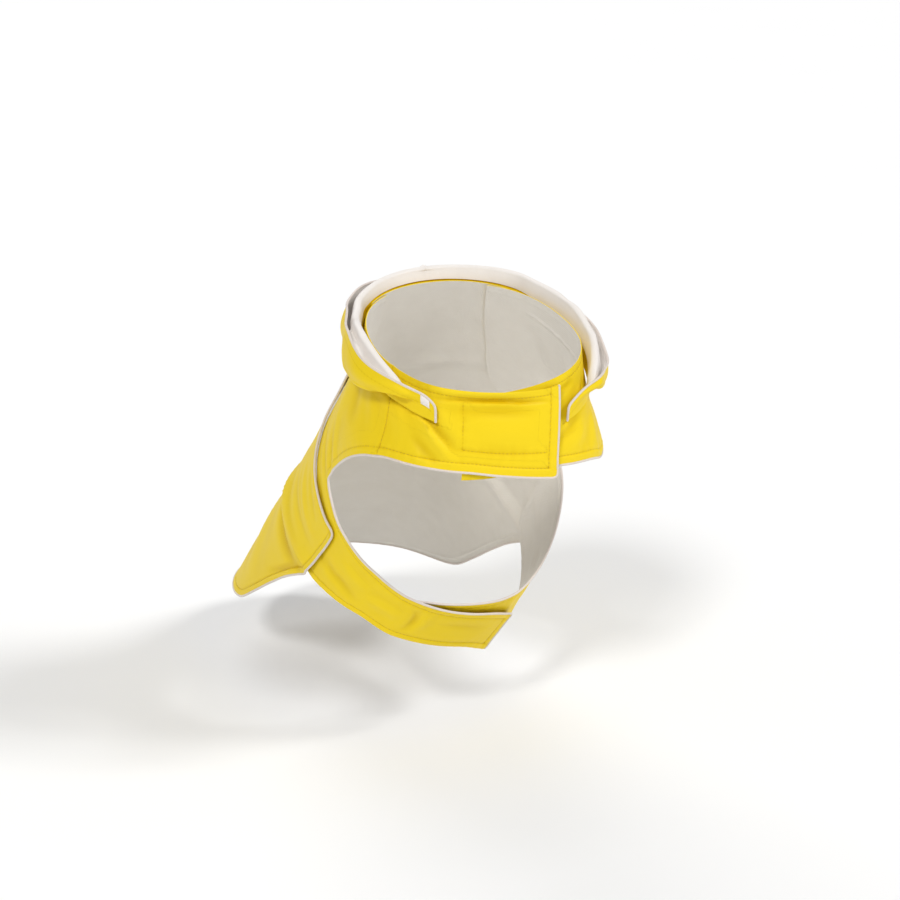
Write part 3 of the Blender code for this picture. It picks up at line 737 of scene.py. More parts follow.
# ---- meshes --------------------------------------------------------------------------------
def piece_of(name: str, points: Array, faces: Sequence[Sequence[int]], finishes: Sequence[Finish],
             uv: Array | None = None, slots: Array | None = None,
             numbers: Mapping[str, Array] | None = None,
             sharp: float | None = SHARP_ANGLE) -> bpy.types.Object:
    """Make one object at the origin.

    Args:
        name: The piece's name.
        points: Points in mm.
        faces: The corners of each face, pointing out.
        finishes: Materials, in slot order.
        uv: Flat coordinates in metres, a row a point.
        slots: Material slot of each face.
        numbers: Values kept on the points, by name.
        sharp: Angle in degrees from which an edge stays sharp, or None for none.

    Returns:
        The object, riding on the coat's one body.
    """
    data = bpy.data.meshes.new(name)
    data.from_pydata((points * MM).tolist(), [], faces)
    for finish in finishes:
        data.materials.append(finish.material())
    corners = np.empty(len(data.loops), np.int32)
    data.loops.foreach_get("vertex_index", corners)
    if uv is not None:
        layer = data.uv_layers.new(name="cloth")
        layer.uv.foreach_set("vector", uv[corners].astype(np.float32).ravel())
    if slots is not None:
        data.polygons.foreach_set("material_index", slots.astype(np.int32))
    for key, values in (numbers or {}).items():
        data.attributes.new(key, "FLOAT", "POINT").data.foreach_set("value", values.astype(np.float32))
    data.polygons.foreach_set("use_smooth", np.ones(len(data.polygons), bool))
    if sharp is not None:
        data.set_sharp_from_angle(angle=math.radians(sharp))
    data.update()
    made = bpy.data.objects.new(name, data)
    bpy.context.scene.collection.objects.link(made)
    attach(made, BODY)
    LOG.info("%s: %d faces", name, len(data.polygons))
    return made


def shell(name: str, outer: Array, inner: Array, flat: Array, finishes: Sequence[Finish],
          numbers: Mapping[str, Array], inner_slots: Array | None = None) -> bpy.types.Object:
    """Closed thin wall between two grids of points, with quads on both and round the rim.

    Each inner quad starts at its outer quad's first corner, so both are split the same way
    and the wall never crosses itself in a sharp fold.

    Args:
        name: The piece's name.
        outer: Grid of points in mm.
        inner: The matching grid on the other face.
        flat: Flat coordinates of the grid, in mm.
        finishes: Materials, in slot order.
        numbers: Grids of values kept on the points.
        inner_slots: Material slot of each inner quad.

    Returns:
        The object.
    """
    rows, columns = outer.shape[:2]
    count = rows * columns
    index = np.arange(count).reshape(rows, columns)
    quads = np.stack([index[:-1, :-1], index[:-1, 1:], index[1:, 1:], index[1:, :-1]], -1).reshape(-1, 4)
    loop = np.concatenate([index[0, :-1], index[:-1, -1], index[-1, :0:-1], index[:0:-1, 0]])
    ahead = np.roll(loop, -1)
    rim = np.stack([ahead, loop, loop + count, ahead + count], -1)
    points = np.concatenate([outer.reshape(-1, 3), inner.reshape(-1, 3)])
    a, b, c = (points[quads[:, i]] for i in (0, 1, 2))
    facing = np.sum(np.cross(b - a, c - a) * (points[quads[:, 0]] - points[quads[:, 0] + count]))
    back_to_front = [0, 3, 2, 1]
    faces = np.concatenate([quads, quads[:, back_to_front] + count, rim])
    if facing < 0:
        faces = faces[:, ::-1]
    slots = np.zeros(len(faces))
    if inner_slots is not None:
        slots[len(quads):2 * len(quads)] = inner_slots.ravel()
    uv = np.tile(flat.reshape(-1, 2), (2, 1)) * MM
    doubled = {key: np.tile(np.ravel(values), 2) for key, values in numbers.items()}
    return piece_of(name, points, faces.tolist(), finishes, uv, slots, doubled)


COAT_AXIS_Z = (-330, -287, -212, -143, -69, -23, 15, 60)
COAT_AXIS_Y = (170, 139, 66, 1, -55, -64, -70, -76)


def outward(points: Array) -> Array:
    """Level direction from the coat's axis to each point."""
    axis = np.stack([0 * points[:, 0], np.interp(points[:, 2], COAT_AXIS_Z, COAT_AXIS_Y), points[:, 2]], 1)
    return unit(points - axis)


def even(points: Array, step: float, rounding: int = 2) -> Array:
    """The path resampled at an even step, its corners rounded by averaging: (a + 2b + c) / 4."""
    for _ in range(2):
        run = np.concatenate([[0], np.cumsum(np.linalg.norm(np.diff(points, axis=0), axis=1))])
        at = np.linspace(0, run[-1], max(6, int(run[-1] / step)))
        points = np.stack([np.interp(at, run, points[:, i]) for i in range(3)], 1)
        for _ in range(rounding):
            points[1:-1] = (points[:-2] + 2 * points[1:-1] + points[2:]) / 4
    return points


def cord(name: str, path: Array) -> bpy.types.Object:
    """Piping: a circle carried along a path, with rounded closed ends.

    The circle's first axis is square to the path and to the direction out of the coat.
    """
    path = even(path, CORD_STEP)
    sides = CORD_SIDES
    tangent = unit(np.gradient(path, axis=0))
    across = unit(np.cross(tangent, outward(path)))
    over = np.cross(across, tangent)
    reach, cap = np.array(CORD_END).T
    reach = reach[:, None] * CORD
    centres = np.concatenate([path[0] - tangent[0] * reach[:0:-1], path, path[-1] + tangent[-1] * reach[1:]])
    radius = CORD * np.concatenate([cap[:0:-1], np.ones(len(path)), cap[1:]])
    spare = ((len(cap) - 1, len(cap) - 1), (0, 0))
    across, over = (np.pad(vectors, spare, mode="edge") for vectors in (across, over))
    run = np.concatenate([[0], np.cumsum(np.linalg.norm(np.diff(centres, axis=0), axis=1))])
    radius = radius * (1 + 0.03 * np.sin(run / 3.1) * np.sin(run / 7.7))
    turn = np.linspace(0, 2 * np.pi, sides + 1)
    ring = (across[:, None] * np.cos(turn)[None, :, None] + over[:, None] * np.sin(turn)[None, :, None])
    grid = centres[:, None] + ring * radius[:, None, None]
    rows = len(centres)
    index = np.arange(rows * sides).reshape(rows, sides)
    right = np.roll(index, -1, axis=1)
    quads = np.stack([index[:-1], right[:-1], right[1:], index[1:]], -1).reshape(-1, 4)
    ends = np.array([[rows * sides] * sides, [rows * sides + 1] * sides])
    first = np.stack([ends[0], right[0], index[0]], -1)
    last = np.stack([ends[1], index[-1], right[-1]], -1)
    tips = np.stack([path[0] - tangent[0] * CORD, path[-1] + tangent[-1] * CORD])
    points = np.concatenate([grid[:, :-1].reshape(-1, 3), tips])
    a, b, c = (points[quads[:, i]] for i in (0, 1, 2))
    faces = [*quads.tolist(), *first.tolist(), *last.tolist()]
    if np.sum(np.cross(b - a, c - a) * (a - centres[quads[:, 0] // sides])) < 0:
        faces = [face[::-1] for face in faces]
    flat = np.stack(np.broadcast_arrays(run[:, None] * MM, (turn[:-1] / (2 * np.pi))[None, :]), -1)
    uv = np.concatenate([flat.reshape(-1, 2), [[run[0] * MM, 0.5], [run[-1] * MM, 0.5]]])
    made = piece_of(name, points, faces, (Finish.PIPING,), uv, sharp=None)
    return made


def stitches(name: str, runs: Sequence[tuple[Array, Array]]) -> bpy.types.Object:
    """Rows of stitches: short spindles whose ends dip into the cloth.

    Args:
        name: The piece's name.
        runs: For each row, points on the cloth and the cloth's normals there.

    Returns:
        The object.
    """
    stations, swell, dip = np.array(STITCH_PROFILE).T
    dip = dip * STITCH_RADIUS
    sides = STITCH_SIDES
    turn = np.arange(sides) * 2 * np.pi / sides
    centres, along, normal = [], [], []
    for points, normals in runs:
        run = np.concatenate([[0], np.cumsum(np.linalg.norm(np.diff(points, axis=0), axis=1))])
        at = np.arange(STITCH_PITCH / 2, run[-1], STITCH_PITCH)
        places, nearby, facing = (
            np.stack([np.interp(at + step, run, grid[:, i]) for i in range(3)], 1)
            for step, grid in ((0, points), (5 * LEAST_STEP, points), (0, normals)))
        keep = np.linalg.norm(nearby - places, axis=1) > LEAST_STEP
        centres.append(places[keep])
        along.append(unit(nearby - places + 1e-9)[keep])
        normal.append(unit(facing)[keep])
    middle, along, normal = (np.concatenate(parts) for parts in (centres, along, normal))
    across = unit(np.cross(along, normal))
    normal = np.cross(across, along)
    grid = (middle[:, None, None] + along[:, None, None] * (stations * STITCH_LENGTH)[None, :, None, None]
            + normal[:, None, None] * dip[None, :, None, None]
            + STITCH_RADIUS * swell[None, :, None, None]
            * (across[:, None, None] * np.cos(turn)[None, None, :, None]
               + normal[:, None, None] * np.sin(turn)[None, None, :, None]))
    rings = len(stations)
    index = np.arange(rings * sides).reshape(rings, sides)
    right = np.roll(index, -1, axis=1)
    body = np.stack([index[:-1], index[1:], right[1:], right[:-1]], -1).reshape(-1, 4)
    caps = np.array([[0, 1, 2, 3], [0, 3, 4, 5], [3, 2, 1, 0], [5, 4, 3, 0]])
    caps[2:] += (rings - 1) * sides
    one = np.concatenate([body, caps])
    faces = (one[None] + (np.arange(len(middle)) * rings * sides)[:, None, None]).reshape(-1, 4)
    made = piece_of(name, grid.reshape(-1, 3), faces.tolist(), (Finish.THREAD,))
    return made


def beside(points: Array, inner: Array, normals: Array, distance: float) -> Array:
    """Points moved off an edge in the cloth's surface, away from their inner neighbours."""
    away = unit(np.cross(np.gradient(points, axis=0), normals))
    sign = np.sign(np.sum((points - inner) * away, axis=1, keepdims=True))
    return points + away * sign * distance


INWARD = 0.04            # share of a panel's width that shows which way is in
CORNER_ROOM = 0.4        # a line stops this much before the line that it meets


class Border(Enum):
    """The four borders of a panel's grid: which axis is fixed, and at which end."""

    NECK = (0, 0.0)
    HEM = (0, 1.0)
    REAR = (1, 0.0)
    FRONT = (1, 1.0)


# ---- panels --------------------------------------------------------------------------------
@dataclass
class Panel:
    """A piece of coated cloth on the form."""

    name: str
    rows: int
    columns: int
    flat: tuple[float, float]
    area: float
    rests_on: tuple[str, ...] = ()
    left: bool = False
    creases: tuple[Crease, ...] = ()
    sewing: list[Sewing] = field(default_factory=list)

    def grid(self, down: Array, across: Array) -> tuple[Array, Array]:
        """Stations and angles at the given shares of the way down and across."""
        raise NotImplementedError

    def rise(self, station: Array, angle: Array) -> Array:
        """Lift of the cloth's inner face where it lies over another piece."""
        return 0 * station + 0 * angle

    def turned(self, points: Array) -> Array:
        """The points on this panel's own side of the coat."""
        return points * np.array([-1.0 if self.left else 1.0, 1.0, 1.0])

    def relief(self, station: Array, angle: Array) -> tuple[Array, Array, Array]:
        """Relief in mm, with the distance to the nearest sewing and the run along it.

        It is the sum of the creases, and of each sewn line's furrow and pucker.
        """
        total = np.zeros(np.shape(station))
        for crease in self.creases:
            total = total + crease.relief(station, angle)
        near, along = np.full(np.shape(station), FAR), np.zeros(np.shape(station))
        for line in self.sewing:
            distance, run, _ = flat_distance(station, angle, line.line)
            total = total + line.relief(distance, run)
            closer = np.abs(distance) < np.abs(near)
            near, along = np.where(closer, distance, near), np.where(closer, run, along)
        return total, near, along

    def surface(self, station: Array, angle: Array, share: float = 1.0) -> Array:
        """Points on the cloth: share 0 is its inner face and 1 its outer face."""
        lift = self.rise(station, angle) + CLOTH - (1 - share) * CLOTH_THIN
        return self.turned(FORM.point(station, angle, lift + self.relief(station, angle)[0]))

    def border(self, border: Border, first: float = 0.0, last: float = 1.0, count: int = 160,
               inward: float = 0.0) -> tuple[Array, Array]:
        """Places along a border, between two shares of it, at a share inward."""
        axis, end = border.value
        run = np.linspace(first, last, count)
        at = np.array([abs(end - inward)])
        station, angle = self.grid(run, at) if axis == 1 else self.grid(at, run)
        return station.ravel(), angle.ravel()

    def inset(self, border: Border, distance: float, first: float = 0.0,
              last: float = 1.0) -> tuple[Array, Array]:
        """Places on a line inside a border at an even distance in mm."""
        station, angle = self.border(border, first, last)
        inner = FORM.base(*self.border(border, first, last, inward=INWARD))
        edge = FORM.base(station, angle)
        move = beside(edge, inner, FORM.normal(station, angle), -distance) - edge
        return FORM.step(station, angle, move)

    def kept(self, places: tuple[Array, Array], borders: Sequence[Border],
             least: float) -> tuple[Array, Array]:
        """The places that lie at least so far from the named borders."""
        here = FORM.base(*places)
        edges = np.concatenate([FORM.base(*self.border(border)) for border in borders])
        away = np.linalg.norm(here[:, None] - edges[None], axis=-1).min(1)
        return places[0][away >= least], places[1][away >= least]

    def sew(self, border: Border, distance: float, corners: Sequence[Border] = (), first: float = 0.0,
            last: float = 1.0, **looks: Any) -> None:
        """Add a sewn line inside a border, stopping where it meets those of other borders."""
        places = self.inset(border, distance, first, last)
        middle = self.border(border, (first + last) / 2, (first + last) / 2, 1)
        side = flat_distance(*middle, np.stack(places, 1))[0]
        if corners:
            places = self.kept(places, corners, distance - CORNER_ROOM)
        self.sewing.append(Sewing(*places, hem_side=float(np.sign(side[0])), **looks))

    def cord_run(self, border: Border, first: float = 0.0, last: float = 1.0) -> Array:
        """The piping's run beside a border, halfway through the cloth."""
        station, angle = self.border(border, first, last)
        inner = self.surface(*self.border(border, first, last, inward=INWARD), share=0.5)
        normal = self.turned(FORM.normal(station, angle))
        return beside(self.surface(station, angle, 0.5), inner, normal, CORD_OFFSET)

    def build(self) -> bpy.types.Object:
        """Make the cloth, on a grid that is closer along the borders."""
        station, angle = self.grid(crowded(self.rows), crowded(self.columns))
        relief, near, run = self.relief(station, angle)
        # hollow: the relief's depth, which the shader turns into painted shade in troughs and a painted
        # highlight on ridges.
        numbers = {"hollow": np.clip(-relief, *HOLLOW_RANGE), "sew": near, "run": run}
        outer, inner = self.surface(station, angle), self.surface(station, angle, 0.0)
        backing = np.ones((self.rows - 1, self.columns - 1), int)
        flat = np.stack([station, angle * ARC], -1)
        made = shell(f"{self.name}_cloth", outer, inner, flat,
                     (Finish.COATED, Finish.BACKING), numbers, backing)
        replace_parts(made, self.name)
        return made

    def thread_runs(self) -> list[tuple[Array, Array]]:
        """Rows of points and normals for the stitches."""
        runs = []
        for line in self.sewing:
            if line.thread:
                normal = self.turned(FORM.normal(line.station, line.angle))
                runs.append((self.surface(line.station, line.angle), normal))
        return runs

    def declare(self, made: bpy.types.Object, trims: Sequence[bpy.types.Object]) -> None:
        """Nothing: neither the cloth's cut size nor what is sewn on it is kept."""


@dataclass
class BackPanel(Panel):
    """The saddle-shaped back panel, from the neck to the rounded hem."""

    def grid(self, down: Array, across: Array) -> tuple[Array, Array]:
        """Rows bow from plain arcs ahead to the hem's own shape behind."""
        edge = np.array(SADDLE_EDGE, float)
        knots = np.linspace(0, 1, len(edge))
        edge_station, edge_angle = (monotone(down, knots, edge[:, i])[:, None] for i in (0, 1))
        across = (2 * across - 1)[None, :]
        spine = (SADDLE_SPINE[0] + (SADDLE_SPINE[1] - SADDLE_SPINE[0]) * down)[:, None]
        hem = np.array(HEM_SHAPE, float)
        blend = ramp(down, *HEM_BLEND)[:, None]
        bend = (1 - blend) * across**2 + blend * monotone(np.abs(across), hem[:, 0], hem[:, 1])
        return spine + (edge_station - spine) * bend, edge_angle * across

    def rise(self, station: Array, angle: Array) -> Array:
        """Over the side panels, with one main fold and one soft fold at each flank."""
        side = np.abs(angle)
        lift = 0 * side
        for at, growth, height, ahead, behind in FLANK_FOLDS:
            ridge = at + growth * (side - FLANK_ANGLE)
            lift = lift + height * bump(station, ridge, np.where(station > ridge, behind, ahead))
        return SADDLE_LIFT + lift * ramp(side, *FOLD_START) * (1 - FOLD_LOSS * ramp(side, *FOLD_END))


@dataclass
class SidePanel(Panel):
    """A shoulder, the strip behind the armhole and the belly band."""

    table: tuple[tuple[float, ...], ...] = SIDE_RIGHT

    def grid(self, down: Array, across: Array) -> tuple[Array, Array]:
        """Rows run straight from the rear edge to the front edge."""
        rows = np.array(self.table, float)
        line = down * (len(rows) - 1)
        rear_station, rear_angle, front_station, front_angle = (
            cornered(line, np.arange(len(rows)), rows[:, i], SIDE_CORNER_ROW)[:, None] for i in range(4))
        return (rear_station + (front_station - rear_station) * across[None, :],
                rear_angle + (front_angle - rear_angle) * across[None, :])

    @property
    def armhole_start(self) -> float:
        """Share of the front border where the chest seam ends."""
        return SIDE_CORNER_ROW / (len(self.table) - 1)

    def rise(self, station: Array, angle: Array) -> Array:
        """The right band rises over the left one under the belly."""
        return 0 * angle if self.left else OVERLAP_LIFT * ramp(angle, *BELLY_RAMP)


@dataclass
class ChestFlap(Panel):
    """A chest flap, from its seam to the free front edge."""

    hem: tuple[Place, ...] = HEM_RIGHT
    front_edge: tuple[Place, ...] = FRONT_EDGE_RIGHT
    table: tuple[tuple[float, ...], ...] = SIDE_RIGHT

    def grid(self, down: Array, across: Array) -> tuple[Array, Array]:
        """Between the two side outlines, and between the neck edge and the hem by angle."""
        rows = np.array(self.table, float)[:SIDE_CORNER_ROW + 1]
        seam = rows[:, 2:4]
        hem, front, neck = (np.array(table, float) for table in (self.hem, self.front_edge, NECK_EDGE))
        ends = []
        for outline in (seam, front):
            station = neck[0, 1] + (hem[0, 1] - neck[0, 1]) * down
            for _ in range(6):
                angle = monotone(station, outline[:, 0], outline[:, 1])
                top, bottom = (monotone(angle, table[:, 0], table[:, 1]) for table in (neck, hem))
                station = top + (bottom - top) * down
            ends.append(angle[:, None])
        angle = ends[0] + (ends[1] - ends[0]) * across[None, :]
        top, bottom = (monotone(angle, table[:, 0], table[:, 1]) for table in (neck, hem))
        return top + (bottom - top) * down[:, None], angle

    def rise(self, station: Array, angle: Array) -> Array:
        """The right flap rises over the left one."""
        return 0 * angle if self.left else OVERLAP_LIFT * ramp(angle, *CHEST_RAMP)


BACK_CREASES = (
    Crease(((168, 34), (177, 48), (184, 62), (188, 75), (189, 88), (184, 101)), -2.6, 4.2, -0.3, 0.1),
    Crease(((159, 38), (168, 52), (174, 66), (178, 80), (177, 98)), 1.6, 3.0, 0.0, 0.1),
    Crease(((150, 46), (159, 60), (165, 74), (168, 92)), -0.7, 2.0, 0.0, 0.2),
    Crease(((144, 50), (152, 64), (158, 78), (161, 94)), 0.7, 2.4, 0.0, 0.2),
    Crease(((137, 54), (146, 68), (152, 82), (155, 98)), -0.7, 2.2, 0.0, 0.2),
    Crease(((124, 60), (134, 72), (142, 85), (148, 99)), 0.8, 3.0),
    Crease(((116, 70), (126, 82), (136, 96)), -0.6, 2.4),
    Crease(((60, 34), (78, 44), (96, 54)), 0.7, 6.0),
    Crease(((192, 30), (214, 46), (240, 56), (262, 66)), 1.3, 8.0),
    Crease(((200, 22), (226, 38), (250, 50), (276, 58)), -1.0, 6.0),
    Crease(((184, 99), (196, 91), (210, 86), (226, 79)), -1.3, 2.6),
    Crease(((190, 96), (206, 92), (218, 86)), 0.8, 4.0),
    Crease(((62, -46), (74, -14), (66, 24)), -1.0, 5.5),
    Crease(((70, -34), (84, 0), (80, 30)), 0.8, 5.5),
    Crease(((116, -52), (134, -18), (128, 14)), -1.0, 6.0),
    Crease(((170, -40), (186, -12), (178, 12)), -1.1, 6.0),
    Crease(((182, -30), (196, -6), (190, 16)), 0.8, 6.0),
    Crease(((226, -26), (238, 0), (230, 20)), 0.9, 8.0),
    Crease(((256, -24), (288, -18), (320, -22)), 1.3, 8.0),
    Crease(((250, 12), (286, 9), (320, 13)), -1.2, 8.0),
    Crease(((262, -3), (290, -5), (321, -2)), 0.9, 7.0),
    Crease(((168, -38), (176, -54), (180, -70), (183, -86), (179, -100)), -1.8, 3.8, 0.3),
    Crease(((146, -44), (152, -62), (158, -76), (165, -92)), 1.3, 5.4),
    Crease(((128, -58), (138, -72), (150, -90)), -0.9, 4.0),
    Crease(((112, -72), (124, -84), (138, -97)), 0.9, 4.2),
    Crease(((198, -30), (222, -46), (246, -56), (266, -68)), -1.2, 7.0),
    Crease(((206, -44), (226, -60), (246, -70)), 1.0, 7.0),
    Crease(((186, -99), (198, -90), (214, -84)), 1.0, 4.2),
    Crease(((40, -34), (60, -42), (84, -50)), -0.8, 6.0),
)
SIDE_RIGHT_CREASES = (
    Crease(((50, 64), (66, 71), (80, 80), (94, 90)), -1.1, 2.8),
    Crease(((56, 74), (68, 80), (80, 87), (90, 93)), 0.8, 3.0),
    Crease(((80, 60), (90, 72), (98, 82), (105, 91)), -0.9, 2.6),
    Crease(((14, 64), (34, 68), (58, 72), (78, 78)), 1.2, 7.0),
    Crease(((10, 80), (28, 84), (46, 92)), -1.0, 6.0),
    Crease(((4, 96), (20, 102), (36, 112)), 0.7, 5.0),
    Crease(((108, 78), (116, 88), (124, 99)), -0.5, 2.6),
    Crease(((138, 92), (148, 98), (153, 103), (162, 110)), -1.2, 3.4),
    Crease(((148, 106), (157, 114), (159, 121), (167, 131)), -1.2, 3.6),
    Crease(((140, 116), (146, 124), (152, 134)), 0.8, 4.0),
    Crease(((160, 134), (158, 142), (162, 150)), 0.9, 4.0),
    Crease(((150, 155), (158, 156.5), (166, 156), (175, 153)), -1.3, 2.6, 0.3),
    Crease(((156, 160), (164, 161), (172, 159)), 0.7, 3.0),
    Crease(((166, 168), (172, 182), (182, 196)), -0.6, 4.0),
    Crease(((180, 168), (186, 180), (192, 196)), 0.4, 3.0),
)
SIDE_LEFT_CREASES = (
    Crease(((58, 102), (57, 115), (54, 128), (47, 142)), 1.5, 7.0, 0.0, 0.0),
    Crease(((48, 62), (66, 72), (80, 82), (92, 90)), -1.2, 3.0),
    Crease(((52, 76), (66, 82), (80, 88)), 0.8, 3.2),
    Crease(((82, 64), (94, 77), (101, 87)), -0.9, 2.6),
    Crease(((12, 58), (34, 66), (60, 72)), 1.3, 7.0),
    Crease(((8, 84), (30, 90), (52, 98)), -1.1, 6.0),
    Crease(((20, 104), (36, 108), (50, 113)), 0.8, 5.0),
    Crease(((144, 94), (156, 104), (166, 112)), -1.2, 3.8),
    Crease(((150, 112), (162, 122), (172, 134)), 0.9, 4.0),
    Crease(((166, 116), (176, 126), (186, 140)), -1.1, 4.0),
    Crease(((158, 148), (172, 152), (186, 150)), 0.9, 4.4),
)
CHEST_RIGHT_CREASES = (
    Crease(((1, 133), (9, 140), (17, 145), (24, 150), (30, 154)), -1.9, 3.0, 0.2),
    Crease(((12, 138), (20, 143), (28, 149), (37, 154)), 1.2, 3.2),
    Crease(((22, 133), (29, 140), (37, 147)), -0.9, 3.0),
    Crease(((8, 121), (20, 126), (34, 130)), 0.7, 5.0),
    Crease(((-5, 143), (-6.5, 153), (-6, 164), (-5, 174), (-3, 184), (0, 201)), -2.4, 1.7, 0.35, 0.1),
    Crease(((-11, 140), (-12, 158), (-11, 176), (-9, 202)), 1.2, 2.6, 0.0, 0.1),
    Crease(((1, 147), (1, 160), (2, 175), (5, 194)), -1.2, 4.6, 0.0, 0.0),
    Crease(((6, 160), (14, 172), (17, 190)), 0.5, 7.0),
    Crease(((24, 162), (27, 174), (30, 188)), -0.4, 5.0),
)
CHEST_LEFT_CREASES = (
    Crease(((58, 102), (57, 115), (54, 128), (47, 142)), 1.5, 7.0, 0.0, 0.0),
    Crease(((16, 141), (22, 147), (26, 154), (31, 161)), -1.0, 3.2),
    Crease(((26, 138), (32, 144), (36, 152)), 0.8, 3.4),
    Crease(((0, 128), (8, 134), (18, 135)), -1.3, 3.0),
    Crease(((26, 124), (36, 131), (47, 136)), 0.8, 4.0),
    Crease(((-6, 140), (-3, 150), (-2, 158)), -1.0, 2.8),
)


# ---- the hood ------------------------------------------------------------------------------
HOOD_RIGHT_FOLDS = (
    Crease(((62, 66), (74, 62), (84, 66)), -1.0, 6.0),
    Crease(((54, 96), (64, 100), (72, 108)), 0.7, 6.0),
    Crease(((56, 120), (66, 116), (76, 112)), -0.6, 4.4),
    Crease(((44, 20), (60, 26), (80, 24)), 1.8, 10.0),
    Crease(((40, 40), (60, 44), (78, 40)), -1.5, 8.0),
    Crease(((50, 5), (64, 8), (84, 6)), -1.4, 8.0),
    Crease(((16, 70), (30, 74), (46, 72)), 0.8, 6.0),
    Crease(((14, 98), (26, 94), (40, 98)), -0.7, 5.0),
    Crease(((66, 82), (78, 84), (88, 80)), 0.6, 5.0),
)
HOOD_LEFT_FOLDS = (
    Crease(((44, -18), (60, -24), (80, -20)), 1.9, 10.0),
    Crease(((42, -36), (60, -42), (80, -38)), -1.6, 8.0),
    Crease(((48, -56), (62, -60), (78, -56)), 1.2, 7.0),
    Crease(((54, -86), (66, -90), (78, -86)), -0.8, 5.0),
    Crease(((16, -76), (30, -80), (44, -76)), 0.8, 6.0),
    Crease(((14, -104), (26, -108), (38, -104)), -0.6, 5.0),
    Crease(((56, -112), (66, -116), (76, -112)), 0.5, 4.4),
)
PLACE_STEP = 7.5         # one hood place laid flat, mm
LINING_START = 0.5       # hood place where the lining begins
# The lining's drop below crest and edge before it spans the valley: at the sides, and behind the neck.
SIDE_DROP, NECK_DROP, NECK_RAMP = 3.5, 60.0, (48, 84)


